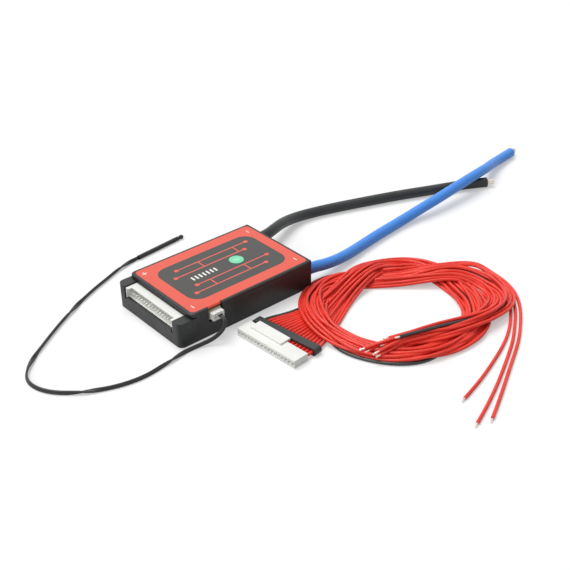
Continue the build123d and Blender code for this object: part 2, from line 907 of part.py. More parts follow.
def cord_tube(name, route, diameter):
    """Round cord along straight runs joined by tangent arcs."""
    radii = corner_radii(route)
    line = FilletPolyline(*route, radius=radii)
    start = Vector(*route[1]) - Vector(*route[0])
    section = Plane(origin=route[0], z_dir=start) * Circle(diameter / 2)
    tube = sweep(section, path=line)
    ratio = tube.volume / (section.area * line.length)
    tight = min(radii) / diameter
    print(f"{name}: length {line.length:.1f}, tightest arc {tight:.1f} diameters, volume ratio {ratio:.4f}")
    return one_solid(tube)


def end_bar(route, length, diameter):
    """Short straight bar that carries on from a cord's last point."""
    a = Vector(*route[-2])
    b = Vector(*route[-1])
    bar = Plane(origin=route[-1], z_dir=b - a) * Circle(diameter / 2)
    return one_solid(extrude(bar, length))


def ntc_sleeve():
    """Shrunk sleeve over the sensor's legs."""
    sleeve = Cylinder(sleeve_diameter / 2, sleeve_length) - Cylinder(sleeve_bore / 2, sleeve_length)
    return one_solid(sleeve_place() * Pos(0, 0, sleeve_length / 2) * sleeve)


def ntc_bead():
    """Sensor bead on its legs, which fill the sleeve."""
    legs = Pos(0, 0, sleeve_length / 2) * Cylinder(sleeve_bore / 2, sleeve_length)
    neck = Pos(0, 0, sleeve_length + bead_reach / 2) * Cylinder(sleeve_bore / 3, bead_reach)
    bead = Pos(0, 0, sleeve_length + bead_reach) * Sphere(bead_radius)
    return one_solid(sleeve_place() * (legs + neck + bead))


def sleeve_place():
    """Place of the sleeve's start, pointing along it."""
    direction = (cos(radians(sleeve_turn)), sin(radians(sleeve_turn)), 0)
    height = sleeve_diameter / 2
    return Plane(origin=(sleeve_x, sleeve_y, height), z_dir=direction).location


def plug_place():
    """Place of the unplugged 17-way plug: the middle of its wire side, on the floor."""
    return Pos(sense_plug_x, sense_plug_y) * Rot(0, 0, sense_plug_turn)


def sense_plug():
    """Housing of the 17-way plug with its cells, wire mouths and a raised hood."""
    half = sense_plug_length / 2
    housing = block(-sense_plug_depth, 0, -half, half, 0, sense_plug_height)
    low = band_height + band_half_height + hood_clearance
    high = sense_plug_height + hood_rise
    start = hood_offset - hood_length / 2
    housing += block(-hood_overhang, hood_reach, start, start + hood_length, low, high)
    housing = fillet(housing.edges().filter_by(Axis.X).group_by(Axis.Z)[0], plug_edge_round)
    mid = sense_plug_height / 2
    cell = sense_cavity / 2
    for y in sense_row_places():
        housing -= block(-sense_plug_depth, -sense_cavity_back, y - cell, y + cell, mid - cell, mid + cell)
        mouth = sense_wire_diameter / 2 - wire_mouth_squeeze
        housing -= level_bar(-sense_cavity_back - wire_mouth_overlap, 0, y, mid, mouth)
    return one_solid(plug_place() * housing)


def sense_contacts():
    """Crimped sockets in the cells of the 17-way plug."""
    contacts = []
    mid = sense_plug_height / 2
    half = contact_size / 2
    front = -sense_plug_depth + contact_setback
    for y in sense_row_places():
        contact = block(front, front + contact_length, y - half, y + half, mid - half, mid + half)
        bore = contact_bore / 2
        bore_end = front + contact_length - contact_crimp
        contact -= block(front, bore_end, y - bore, y + bore, mid - bore, mid + bore)
        contacts.append(plug_place() * contact)
    return contacts


def wire_band():
    """Flat band round the 17 sense wires, close behind the plug."""
    skew = radians(band_turn - sense_plug_turn)
    inner_half = sense_row / 2 / cos(skew) + sense_wire_diameter / 2 + band_width / 2 * tan(skew)
    inner_half += band_slot_clearance
    slot = sense_wire_diameter / 2 + band_slot_clearance
    outer = Rectangle(2 * (inner_half + band_wall), 2 * band_half_height)
    outer = fillet(outer.vertices(), band_half_height * band_roundness)
    inner = Rectangle(2 * inner_half, 2 * slot)
    band = extrude(outer - inner, band_width / 2, both=True)
    place = Pos(band_x, band_y, band_height) * Rot(0, 0, band_turn) * Rot(0, 90, 0) * Rot(0, 0, 90)
    return one_solid(place * band)


def sense_wire_route(i):
    """Route of one sense wire from the plug, straight through the band, to the coil's entry."""
    step = (sense_ways - 1) / 2 - i
    plug_angle = radians(sense_plug_turn)
    band_angle = radians(band_turn)
    across = step * sense_pitch
    start_x = sense_plug_x - across * sin(plug_angle)
    start_y = sense_plug_y + across * cos(plug_angle)
    to_band = (band_x - start_x) * cos(band_angle) + (band_y - start_y) * sin(band_angle)
    reach = to_band / cos(band_angle - plug_angle) + band_overrun
    mid_x = start_x + reach * cos(plug_angle)
    mid_y = start_y + reach * sin(plug_angle)
    end_y = coil_entry_y + step * coil_entry_pitch
    bend_x = (mid_x + coil_entry_x + coil_entry_depth) / 2
    bend_y = mid_y + 0.6 * (end_y - mid_y)
    return [
        (start_x, start_y, band_height),
        (mid_x, mid_y, band_height),
        (bend_x, bend_y, 0.4 * band_height + 0.6 * sense_floor),
        (coil_entry_x + coil_entry_depth, end_y, sense_floor),
    ]


def sense_coil():
    """Outer shape of the loosely coiled sense wires: one ring with a flat entry side."""
    outer = Polygon(*COIL_OUTLINE, align=None)
    entry = [v for v in outer.vertices() if abs(v.X - coil_entry_x) < 0.01]
    outer = fillet([v for v in outer.vertices() if v not in entry], coil_corner_radius)
    entry = [v for v in outer.vertices() if abs(v.X - coil_entry_x) < 0.01]
    outer = fillet(entry, coil_entry_radius)
    hole = Polygon(*COIL_HOLE, align=None)
    hole = fillet(hole.vertices(), coil_hole_radius)
    ring = prism(outer - hole, 0, coil_height)
    top = ring.faces().sort_by(Axis.Z)[-1]
    return one_solid(fillet(top.edges(), coil_edge_round))


def save(name, shape):
    """Write one sub-part to its STEP file."""
    export_step(shape, f"parts/{name}.step")


def main():
    os.makedirs("parts", exist_ok=True)
    save("base_tray", base_tray())
    save("top_cover", top_cover())
    save("top_label", top_label())
    save("inspection_sticker", inspection_sticker())

    long_pins = sense_header_pins()
    short_pins = ntc_header_pins()
    save("circuit_board", circuit_board())
    save("sense_header", sense_header(long_pins))
    save("sense_header_pins", group(long_pins))
    save("ntc_header", ntc_header(short_pins))
    save("ntc_header_pins", group(short_pins))

    save("discharge_transistors", group(fet_row(1)))
    save("charge_transistors", group(fet_row(-1)))
    save("thermal_pads", group(thermal_pads()))
    save("heat_spreader", heat_spreader())
    save("p_minus_busbar", busbar(p_cable_y, p_busbar_length))
    save("b_minus_busbar", busbar(b_cable_y, b_busbar_length))
    save("shunt_resistors", group(shunt_resistors()))
    save("monitor_chip", monitor_chip())
    save("balance_resistors", group(balance_resistors()))
    save("filter_capacitors", group(filter_capacitors()))
    save("board_screws", group([screw(x, y, board_top) for x, y in board_screw_places()]))
    seat = spreader_low + spreader_thickness
    save("spreader_screws", group([screw(x, y, seat) for x, y in spreader_screw_places()]))

    save("p_minus_tail", cable_tail(p_cable_y))
    save("b_minus_tail", cable_tail(b_cable_y))
    save("p_minus_cable", cord_tube("p_minus_cable", P_CABLE_ROUTE, power_cable_diameter))
    save("b_minus_cable", cord_tube("b_minus_cable", B_CABLE_ROUTE, power_cable_diameter))
    save("p_minus_cable_end", end_bar(P_CABLE_ROUTE, power_tip_length, power_conductor_diameter))
    save("b_minus_cable_end", end_bar(B_CABLE_ROUTE, power_tip_length, power_conductor_diameter))

    save("ntc_plug", ntc_plug())
    save("ntc_contacts", group(ntc_contacts()))
    save("ntc_lead", cord_tube("ntc_lead", NTC_ROUTE, ntc_lead_diameter))
    save("ntc_sleeve", ntc_sleeve())
    save("ntc_bead", ntc_bead())

    save("sense_plug", sense_plug())
    save("sense_contacts", group(sense_contacts()))
    save("wire_band", wire_band())
    coil = sense_coil()
    save("sense_coil", coil)
    for i in range(sense_ways):
        name = f"sense_wire_{i + 1:02d}"
        tube = cord_tube(name, sense_wire_route(i), sense_wire_diameter)
        save(name, one_solid(tube - coil))
    tips = []
    for i, flat_route in enumerate(SENSE_END_ROUTES):
        route = [(x, y, sense_floor) for x, y in flat_route]
        name = f"sense_end_{i + 1}"
        tube = cord_tube(name, route, sense_wire_diameter)
        save(name, one_solid(tube - coil))
        tips.append(end_bar(route, sense_tip_length, sense_tip_diameter))
    save("sense_end_tips", group(tips))


main()
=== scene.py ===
# %% [markdown]
# A battery management board in its flat black case, dressed in Blender.
#
# The real thing is a moulded tray and cover round a circuit board. Two thick cables come out of
# one end, a row of seventeen sockets is open at the other, and a temperature lead is plugged in
# at the side. The unplugged cell harness lies in front of it, wound into a loose coil.
#
# The engineering model already holds every rigid piece at its real size. This lesson loads it
# as a fixed frame, lays the cables, and gives each piece its finish. Nothing rigid is moved.

# %% Load the frame
import json
import math
import random

import bpy
import bmesh
import numpy as np
from mathutils import Matrix, Vector


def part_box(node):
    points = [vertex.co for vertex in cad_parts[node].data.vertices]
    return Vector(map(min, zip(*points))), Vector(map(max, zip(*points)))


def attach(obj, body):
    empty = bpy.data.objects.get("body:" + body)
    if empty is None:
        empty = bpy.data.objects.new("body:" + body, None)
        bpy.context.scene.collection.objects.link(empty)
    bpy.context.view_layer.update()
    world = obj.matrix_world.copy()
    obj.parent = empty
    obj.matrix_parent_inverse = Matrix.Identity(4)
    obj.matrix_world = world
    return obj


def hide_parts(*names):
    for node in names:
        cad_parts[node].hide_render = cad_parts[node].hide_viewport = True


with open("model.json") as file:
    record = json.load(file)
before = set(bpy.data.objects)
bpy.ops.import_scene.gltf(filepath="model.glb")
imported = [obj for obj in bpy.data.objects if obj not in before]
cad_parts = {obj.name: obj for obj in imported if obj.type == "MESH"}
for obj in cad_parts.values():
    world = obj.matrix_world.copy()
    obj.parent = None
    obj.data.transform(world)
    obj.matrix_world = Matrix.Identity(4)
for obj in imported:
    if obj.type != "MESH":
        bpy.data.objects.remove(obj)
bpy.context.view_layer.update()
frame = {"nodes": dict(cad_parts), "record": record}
cad_nodes = frame["nodes"]
print("the frame holds", len(cad_nodes), "pieces")

MM = 0.001


def metres(points):
    return [Vector(p) * MM for p in points]


def add_object(name, data):
    """Puts an object with this data into the scene, at the origin."""
    thing = bpy.data.objects.new(name, data)
    bpy.context.scene.collection.objects.link(thing)
    return thing


# %% [markdown]
# The camera comes first, because every later choice is judged through it. The picture was
# taken from the front left, about a third of a right angle above the table, with a fairly long
# lens. The place of the camera follows from the known size of the case and the corners that
# show in the picture. Its axes are built here from three angles that a photographer would
# use: the side it stands on, how high it looks from, and a small tilt of the horizon.

# %% Camera
CAMERA_SIDE = math.radians(-40.81)
CAMERA_RISE = math.radians(32.25)
CAMERA_TILT = math.radians(-0.52)
CAMERA_PLACE = Vector((-0.2784, -0.3819, 0.3040))
LENS = 61.74
SENSOR = 36.0


def add_camera():
    back = Vector((math.sin(CAMERA_SIDE) * math.cos(CAMERA_RISE),
                   -math.cos(CAMERA_SIDE) * math.cos(CAMERA_RISE),
                   math.sin(CAMERA_RISE)))
    level = Vector((math.cos(CAMERA_SIDE), math.sin(CAMERA_SIDE), 0.0))
    upright = back.cross(level)
    right = math.cos(CAMERA_TILT) * level + math.sin(CAMERA_TILT) * upright
    up = -math.sin(CAMERA_TILT) * level + math.cos(CAMERA_TILT) * upright
    data = bpy.data.cameras.new("camera")
    data.lens = LENS
    data.sensor_width = SENSOR
    camera = add_object("camera", data)
    axes = Matrix((right, up, back)).transposed()
    camera.matrix_world = Matrix.Translation(CAMERA_PLACE) @ axes.to_4x4()
    bpy.context.scene.camera = camera
    return camera


camera = add_camera()
print("the camera stands", round(camera.location.length, 3), "m from the case")

# %% [markdown]
# Materials, the world and Geometry Nodes are all trees of nodes. A few small helpers build
# them here. One adds a node and gives each of its inputs a plain value or another node's
# output. The others are the steps that nearly every tree needs: a sum, a change of range, a
# noise, and a colour between two others.

# %% Helpers for nodes
def feed(tree, node, inputs):
    """Gives inputs of a node a plain value each, or another node's output."""
    for label, value in dict(inputs).items():
        if isinstance(value, bpy.types.NodeSocket):
            tree.links.new(value, node.inputs[label])
        else:
            node.inputs[label].default_value = value


def add_node(tree, kind, inputs=(), **settings):
    node = tree.nodes.new(kind)
    for name, value in settings.items():
        setattr(node, name, value)
    feed(tree, node, inputs)
    return node


def calculate(tree, operation, *values, clamp=False):
    """One Math node. Each value is a number or another node's output."""
    return add_node(tree, "ShaderNodeMath", enumerate(values),
                    operation=operation, use_clamp=clamp).outputs[0]


def between(tree, value, low, high, to_low=0.0, to_high=1.0):
    """Stretches a value from one range to another and cuts it off at both ends."""
    return add_node(tree, "ShaderNodeMapRange", {
        "Value": value, "From Min": low, "From Max": high,
        "To Min": to_low, "To Max": to_high}).outputs["Result"]


def noise(tree, place, scale, detail=3.0, roughness=0.5):
    return add_node(tree, "ShaderNodeTexNoise", {
        "Vector": place, "Scale": scale, "Detail": detail,
        "Roughness": roughness}).outputs["Fac"]


def blend_colours(tree, share, *colours):
    """A colour between two others. Each is a plain colour or another node's output."""
    first, second = [(*c, 1.0) if isinstance(c, tuple) else c for c in colours]
    return add_node(tree, "ShaderNodeMix", {"Factor": share, 6: first, 7: second},
                    data_type="RGBA").outputs[2]


# %% [markdown]
# A product picture like this is made on a white sweep. A wide disc is enough for the floor. To
# the camera and to mirrors it glows a little, so that it is white right to the edges of the
# picture, and it still takes the soft shadow. To all other light it is plain light grey, so that
# it doesn't throw extra light onto the part from below.
#
# The lamps are two wide suns, because a sun is equally bright everywhere on the floor. The key
# stands high and a little behind the part, so that the shadows fall softly towards the camera.
# The fill comes from the left. It lights the end with the socket and leaves the long side dark.

# %% Floor, world and lamps
FLOOR_RADIUS = 3.0
FLOOR_GREY = 0.60
FLOOR_WHITE = 0.93
FLOOR_GLOW = 0.38
WORLD_LEVEL = 0.24
WHITE = (1.0, 1.0, 1.0, 1.0)


def seen_directly(tree):
    """1 for what the camera, a mirror or glass sees, 0 for all other light."""
    paths = tree.nodes.new("ShaderNodeLightPath").outputs
    mirrored = calculate(tree, "MAXIMUM", paths["Is Glossy Ray"], paths["Is Transmission Ray"])
    return calculate(tree, "MAXIMUM", paths["Is Camera Ray"], mirrored)


def floor_material():
    material = bpy.data.materials.new("floor_white")
    material.use_nodes = True
    tree = material.node_tree
    direct = seen_directly(tree)
    shader = tree.nodes["Principled BSDF"]
    feed(tree, shader, {
        "Base Color": blend_colours(tree, direct, (FLOOR_GREY,) * 3, (FLOOR_WHITE,) * 3),
        "Roughness": 0.9, "Specular IOR Level": 0.2})
    glow = add_node(tree, "ShaderNodeEmission", {"Strength": 1.0})
    mix = add_node(tree, "ShaderNodeMixShader", {
        0: calculate(tree, "MULTIPLY", direct, FLOOR_GLOW), 1: shader.outputs[0],
        2: glow.outputs[0]})
    feed(tree, tree.nodes["Material Output"], {"Surface": mix.outputs[0]})
    return material


def to_mesh(name, shape):
    mesh = bpy.data.meshes.new(name)
    shape.to_mesh(mesh)
    shape.free()
    return mesh


def add_floor():
    shape = bmesh.new()
    bmesh.ops.create_circle(shape, cap_ends=True, segments=96, radius=FLOOR_RADIUS)
    floor = add_object("floor", to_mesh("floor", shape))
    floor.data.materials.append(floor_material())


def add_world():
    world = bpy.data.worlds.new("studio")
    world.use_nodes = True
    tree = world.node_tree
    plain = tree.nodes["Background"]
    feed(tree, plain, {"Color": WHITE, "Strength": WORLD_LEVEL})
    seen = add_node(tree, "ShaderNodeBackground", {"Color": WHITE, "Strength": 1.0})
    mix = add_node(tree, "ShaderNodeMixShader", {
        0: seen_directly(tree), 1: plain.outputs[0], 2: seen.outputs[0]})
    feed(tree, tree.nodes["World Output"], {"Surface": mix.outputs[0]})
    bpy.context.scene.world = world


def add_sun(name, place, width, strength):
    """A sun that shines from a place towards the part, as wide as a softbox would look."""
    data = bpy.data.lights.new(name, "SUN")
    data.angle = math.radians(width)
    data.energy = strength
    lamp = add_object(name, data)
    lamp.location = place
    lamp.rotation_euler = (-Vector(place)).to_track_quat("-Z", "Y").to_euler()


add_floor()
add_world()
add_sun("key_lamp", (0.0, 0.5, 1.1), width=42.0, strength=2.35)
add_sun("fill_lamp", (-1.0, -0.15, 0.75), width=40.0, strength=1.05)
bpy.context.scene.view_settings.view_transform = "Standard"
print("the floor and the lamps are set")

# %% [markdown]
# The finishes share a few effects, and each effect is a node group that is built once. A group
# has named inputs, so every material can give it its own values. The groups put out only masks,
# heights and normals. The shader itself stays in each material.

# %% Helpers for groups and materials
DUST_GREY = (0.45, 0.44, 0.42)
PLASTIC_IOR = 1.45
FINISHES = {}


def new_socket(tree, label, side):
    kind = "NodeSocketVector" if label in ("Normal", "Place") else "NodeSocketFloat"
    return tree.interface.new_socket(label, in_out=side, socket_type=kind)


def new_group(name, inputs, outputs):
    """An empty shader group with these sockets, each input with its usual value."""
    tree = bpy.data.node_groups.new(name, "ShaderNodeTree")
    for label, value in inputs.items():
        socket = new_socket(tree, label, "INPUT")
        if value is not None:
            socket.default_value = value
    for label in outputs:
        new_socket(tree, label, "OUTPUT")
    given = tree.nodes.new("NodeGroupInput").outputs
    return tree, given, tree.nodes.new("NodeGroupOutput")


def use_group(tree, group, place=None, **values):
    """Puts a group into a material, with this material's own values."""
    inputs = {label.replace("_", " "): value for label, value in values.items()}
    if place is not None:
        inputs["Place"] = place
    return add_node(tree, "ShaderNodeGroup", inputs, node_tree=group).outputs


def new_material(name, metallic=0.0, coat=0.0, coat_roughness=0.1, specular=0.5):
    """A material with its shader and the object's own coordinates ready to use."""
    material = bpy.data.materials.new(name + "_finish")
    material.use_nodes = True
    FINISHES[name] = material
    tree = material.node_tree
    shader = tree.nodes["Principled BSDF"]
    feed(tree, shader, {"Metallic": metallic, "Coat Weight": coat, "IOR": PLASTIC_IOR,
                        "Coat Roughness": coat_roughness, "Specular IOR Level": specular})
    return tree, shader, tree.nodes.new("ShaderNodeTexCoord").outputs["Object"]


def scaled(tree, value, factor, start):
    """A start value plus some share of another value."""
    return calculate(tree, "ADD", calculate(tree, "MULTIPLY", value, factor), start)


def surface(tree, shader, colour, rough, bump):
    """Feeds the shader its colour and roughness, and a bump with its depth in metres."""
    relief = add_node(tree, "ShaderNodeBump", bump)
    feed(tree, shader, {"Base Color": colour, "Roughness": rough, "Normal": relief.outputs[0]})


# %% [markdown]
# The first group is the grain of a spark-eroded mould: fine cells with finer noise on top. The
# second is what hands and shelves leave: faint smudges and specks of dust. The third rounds the
# look of sharp edges, and says where an edge is, for edge wear and a painted highlight on edges.

# %% Shared effects
def mould_grain_group():
    tree, given, result = new_group("mould_grain", {"Place": None, "Scale": 2600.0},
                                    ["Height", "Pit"])
    cells = add_node(tree, "ShaderNodeTexVoronoi", {
        "Vector": given["Place"], "Scale": given["Scale"]}).outputs["Distance"]
    fine = noise(tree, given["Place"], calculate(tree, "MULTIPLY", given["Scale"], 2.3))
    feed(tree, result, {"Height": scaled(tree, fine, 0.6, cells),
                        "Pit": between(tree, cells, 0.05, 0.3, 1.0, 0.0)})
    return tree


def handling_group():
    tree, given, result = new_group(
        "handling", {"Place": None, "Smudge Scale": 45.0, "Dust Scale": 900.0, "Dust": 0.3},
        ["Smudge", "Speck"])
    wide = noise(tree, given["Place"], given["Smudge Scale"], 4.0, 0.6)
    grains = noise(tree, given["Place"], given["Dust Scale"], 2.0, 0.7)
    specks = calculate(tree, "MULTIPLY", between(tree, grains, 0.68, 0.78), given["Dust"])
    feed(tree, result, {"Smudge": between(tree, wide, 0.42, 0.68), "Speck": specks})
    return tree


def soft_edge_group():
    tree, given, result = new_group("soft_edge", {"Radius": 0.0004}, ["Normal", "Edge"])
    rounded = add_node(tree, "ShaderNodeBevel", {"Radius": given["Radius"]}, samples=4).outputs[0]
    flat = tree.nodes.new("ShaderNodeNewGeometry").outputs["Normal"]
    alike = add_node(tree, "ShaderNodeVectorMath", {0: rounded, 1: flat},
                     operation="DOT_PRODUCT").outputs["Value"]
    feed(tree, result, {"Normal": rounded, "Edge": between(tree, alike, 0.72, 0.98, 1.0, 0.0)})
    return tree


mould_grain = mould_grain_group()
handling = handling_group()
soft_edge = soft_edge_group()
print("three shared effects are ready:", mould_grain.name, handling.name, soft_edge.name)

# %% [markdown]
# Every moulded plastic here is the same recipe with other numbers: a base colour that shifts
# a little where it has been touched, a paler band along the edges that is partly wear and partly
# a painted highlight, some dust, and the mould's grain as a bump. The black case has the deepest
# grain, the nylon connectors the finest.

# %% Moulded plastics
def moulded(name, colour, touched, edge_wear_and_highlight, roughness, grain=2600.0, grain_depth=0.00002,
            edge=0.0004, edge_wear_and_highlight_share=0.5, dust=0.3, **shine):
    tree, shader, place = new_material(name, **shine)
    texture = use_group(tree, mould_grain, place, Scale=grain)
    marks = use_group(tree, handling, place, Dust=dust)
    edges = use_group(tree, soft_edge, Radius=edge)
    smudge = marks["Smudge"]
    base = blend_colours(tree, calculate(tree, "MULTIPLY", smudge, 0.6), colour, touched)
    # Lightens the colour along edges: partly edge wear, partly a painted highlight on the edges.
    base = blend_colours(tree, calculate(tree, "MULTIPLY", edges["Edge"], edge_wear_and_highlight_share), base, edge_wear_and_highlight)
    base = blend_colours(tree, marks["Speck"], base, DUST_GREY)
    rough = scaled(tree, smudge, -0.09, roughness)
    pitted = calculate(tree, "MULTIPLY", texture["Pit"], 0.08)
    surface(tree, shader, base, calculate(tree, "ADD", rough, pitted, clamp=True), {
        "Height": texture["Height"], "Distance": grain_depth, "Strength": 0.6,
        "Normal": edges["Normal"]})


# The third colour of each is its edge colour, partly wear and partly a painted highlight.
moulded("case_black", (0.012, 0.0135, 0.013), (0.017, 0.019, 0.018), (0.05, 0.054, 0.052), 0.46,
        grain=2300.0, grain_depth=0.00003, edge=0.0006, edge_wear_and_highlight_share=0.35, specular=0.45)
nylon = dict(roughness=0.42, grain=4200.0, grain_depth=0.00001, edge=0.00018, edge_wear_and_highlight_share=0.3, dust=0.1)
moulded("connector_white", (0.84, 0.84, 0.81), (0.74, 0.74, 0.70), (0.8, 0.8, 0.78), **nylon)
moulded("connector_beige", (0.66, 0.56, 0.36), (0.58, 0.48, 0.3), (0.74, 0.66, 0.48), **nylon)
moulded("chip_black", (0.02, 0.02, 0.02), (0.03, 0.03, 0.03), (0.07, 0.07, 0.07), 0.55,
        grain=5200.0, edge=0.00015)
moulded("pad_grey", (0.35, 0.38, 0.42), (0.3, 0.33, 0.37), (0.42, 0.45, 0.48), 0.7,
        grain=1600.0, grain_depth=0.00003, edge=0.0002, edge_wear_and_highlight_share=0.2)
moulded("band_black", (0.02, 0.022, 0.022), (0.028, 0.03, 0.03), (0.06, 0.063, 0.06), 0.5,
        grain=1500.0, grain_depth=0.00004, edge=0.0006, edge_wear_and_highlight_share=0.25)
print("the moulded plastics:", ", ".join(FINISHES))

# %% [markdown]
# Wire insulation has no mould grain. Silicone cable is soft and a bit dusty, with a broad dull
# shine. The thin wires are glossier and show a sharp streak of light along each one. Both have
# slow waves in the surface from being drawn through a die, and marks from lying in a coil.

# %% Insulation
def insulation(name, colour, darker, roughness, wave=160.0, wave_depth=0.00012, dust=0.25,
               **shine):
    tree, shader, place = new_material(name, **shine)
    marks = use_group(tree, handling, place, Smudge_Scale=70.0, Dust_Scale=1300.0, Dust=dust)
    pale = tuple(min(1.0, 0.75 * c + 0.12) for c in colour)
    base = blend_colours(tree, marks["Smudge"], colour, darker)
    base = blend_colours(tree, marks["Speck"], base, pale)
    surface(tree, shader, base, scaled(tree, marks["Smudge"], 0.12, roughness), {
        "Height": noise(tree, place, wave, 2.0, 0.4), "Distance": wave_depth, "Strength": 0.5})


insulation("cable_black", (0.010, 0.012, 0.012), (0.020, 0.023, 0.023), 0.36)
insulation("cable_blue", (0.065, 0.27, 0.80), (0.075, 0.29, 0.82), 0.4, specular=0.4)
insulation("lead_black", (0.012, 0.013, 0.013), (0.02, 0.021, 0.021), 0.4,
           wave=420.0, wave_depth=0.00005)
insulation("wire_black", (0.012, 0.012, 0.012), (0.02, 0.02, 0.02), 0.3,
           wave=300.0, wave_depth=0.00003, coat=0.25)
insulation("wire_red", (0.81, 0.050, 0.031), (0.73, 0.041, 0.025), 0.32,
           wave=300.0, wave_depth=0.00003, dust=0.04, specular=0.4)
print("finishes with the insulation:", len(FINISHES))

# %% [markdown]
# The metals: tin on pins and bars, copper strands that a wire stripper has laid bare, milled
# aluminium, and zinc-plated screws. Noise that is stretched along one axis looks like the
# strokes of a brush or a cutter. Tin shows no strokes, only a dull cloudiness.

# %% Metals
STROKE_DEPTH = 0.00001
METAL_EDGE = 0.00012


def metal(name, colour, tarnish, roughness, stroke=(900.0, 60.0, 900.0)):
    tree, shader, place = new_material(name, metallic=1.0)
    stretched = add_node(tree, "ShaderNodeMapping", {"Vector": place, "Scale": stroke}).outputs[0]
    strokes = noise(tree, stretched, 1.0, 4.0, 0.6)
    marks = use_group(tree, handling, place, Smudge_Scale=260.0)
    edges = use_group(tree, soft_edge, Radius=METAL_EDGE)
    base = blend_colours(tree, marks["Smudge"], colour, tarnish)
    surface(tree, shader, base, scaled(tree, strokes, 0.18, roughness - 0.06), {
        "Height": strokes, "Distance": STROKE_DEPTH, "Strength": 0.4,
        "Normal": edges["Normal"]})


metal("pin_tin", (0.82, 0.82, 0.80), (0.68, 0.68, 0.66), 0.6, stroke=(400.0, 400.0, 400.0))
metal("tinned_copper", (0.78, 0.75, 0.70), (0.62, 0.5, 0.4), 0.34, stroke=(700.0, 700.0, 700.0))
metal("spreader_aluminium", (0.76, 0.77, 0.79), (0.6, 0.61, 0.63), 0.34)
metal("screw_steel", (0.6, 0.6, 0.6), (0.42, 0.42, 0.43), 0.3)
print("finishes with the metals:", len(FINISHES))

# %% [markdown]
# The label and the sticker are printed, and their pictures are sums of simple shapes. One
# group gives the distance to a rounded rectangle at any place, so a long thin one is a line and
# a fully rounded one is a dot.

# %% Printed shapes
PRINT_BLUR = 0.00004
MARK_REACH = 1.5
MARK_STROKE = 0.28
MARK_CORNER = 0.05


def printed_shape_group():
    tree, given, result = new_group(
        "printed_shape", {"Place": None, "Centre X": 0.0, "Centre Y": 0.0, "Half Width": 0.01,
                          "Half Height": 0.01, "Corner": 0.001}, ["Mask"])
    place = add_node(tree, "ShaderNodeSeparateXYZ", {0: given["Place"]}).outputs
    past = []
    for axis, centre, half in ((0, "Centre X", "Half Width"), (1, "Centre Y", "Half Height")):
        away = calculate(tree, "ABSOLUTE", calculate(tree, "SUBTRACT", place[axis], given[centre]))
        core = calculate(tree, "SUBTRACT", given[half], given["Corner"])
        past.append(calculate(tree, "SUBTRACT", away, core))
    beyond = [calculate(tree, "MAXIMUM", p, 0.0) for p in past]
    squares = [calculate(tree, "MULTIPLY", b, b) for b in beyond]
    outer = calculate(tree, "SQRT", calculate(tree, "ADD", *squares))
    inner = calculate(tree, "MINIMUM", calculate(tree, "MAXIMUM", *past), 0.0)
    distance = calculate(tree, "SUBTRACT", calculate(tree, "ADD", outer, inner), given["Corner"])
    feed(tree, result, {"Mask": between(tree, distance, -PRINT_BLUR, PRINT_BLUR, 1.0, 0.0)})
    return tree


printed_shape = printed_shape_group()


def print_shapes(tree, place, shapes):
    """One mask for many shapes, each given in mm as centre, half sizes and corner radius."""
    labels = ("Centre_X", "Centre_Y", "Half_Width", "Half_Height", "Corner")
    mask = None
    for shape in shapes:
        sizes = {label: value * MM for label, value in zip(labels, shape)}
        here = use_group(tree, printed_shape, place, **sizes)["Mask"]
        mask = here if mask is None else calculate(tree, "MAXIMUM", mask, here)
    return mask


def minus_mark(x, y):
    return [(x, y, MARK_STROKE, MARK_REACH, MARK_CORNER)]


def plus_mark(x, y):
    return [(x, y, MARK_REACH, MARK_STROKE, MARK_CORNER)] + minus_mark(x, y)


# %% [markdown]
# The label is coral red with a dark field, on which a few tracks with round pads run like the
# tracks of a circuit board. White plus and minus marks show the two ends of the cell row and
# the two outputs. The film is a little uneven, with slow waves that show in its shine.

# %% Label film and sticker
CORAL = (0.77, 0.092, 0.052)
FIELD_GREY = (0.033, 0.032, 0.028)
INK_WHITE = (0.86, 0.84, 0.80)
FILM_DUST = (0.8, 0.76, 0.72)
LABEL_FIELD = (4.5, 0.0, 34.0, 20.0, 8.0)
LABEL_BARS = [(-16.0 + 2.6 * i, 0.0, 0.55, 1.9, 0.3) for i in range(7)]
TRACK_ROWS = (-13.0, -6.5, 6.5, 13.0)
TRACK_STROKE = 0.42
PAD_RADIUS = 1.35


def label_tracks():
    """Tracks on the dark field: four rows that end in pads, with two risers to each pair."""
    shapes = []
    for i, y in enumerate(TRACK_ROWS):
        left = -23.0 + 5.0 * (i % 2)
        right = 32.0 - 6.0 * ((i + 1) % 2)
        shapes.append(((left + right) / 2, y, (right - left) / 2, TRACK_STROKE, TRACK_STROKE))
        shapes += [(x, y, PAD_RADIUS, PAD_RADIUS, PAD_RADIUS) for x in (left, right)]
    for x, rows in ((-9.0, (0, 1)), (22.0, (2, 3)), (-3.0, (2, 3)), (15.0, (0, 1))):
        low, high = (TRACK_ROWS[row] for row in rows)
        shapes.append((x, (low + high) / 2, TRACK_STROKE, (high - low) / 2, TRACK_STROKE))
    return shapes


def printed_film(name, ground, roughness, coat, layers):
    """A printed film: a ground colour and layers of ink, each a colour and its shapes in mm."""
    tree, shader, place = new_material(name, coat=coat, coat_roughness=0.25, specular=0.4)
    marks = use_group(tree, handling, place, Smudge_Scale=38.0, Dust_Scale=1100.0, Dust=0.2)
    uneven = calculate(tree, "MULTIPLY", noise(tree, place, 420.0, 3.0, 0.6), 0.5)
    colour = blend_colours(tree, uneven, ground, tuple(0.86 * c for c in ground))
    for ink, shapes in layers:
        colour = blend_colours(tree, print_shapes(tree, place, shapes), colour, ink)
    colour = blend_colours(tree, marks["Speck"], colour, FILM_DUST)
    surface(tree, shader, colour, scaled(tree, marks["Smudge"], 0.1, roughness), {
        "Height": noise(tree, place, 55.0, 2.0, 0.4), "Distance": 0.00025, "Strength": 0.35})


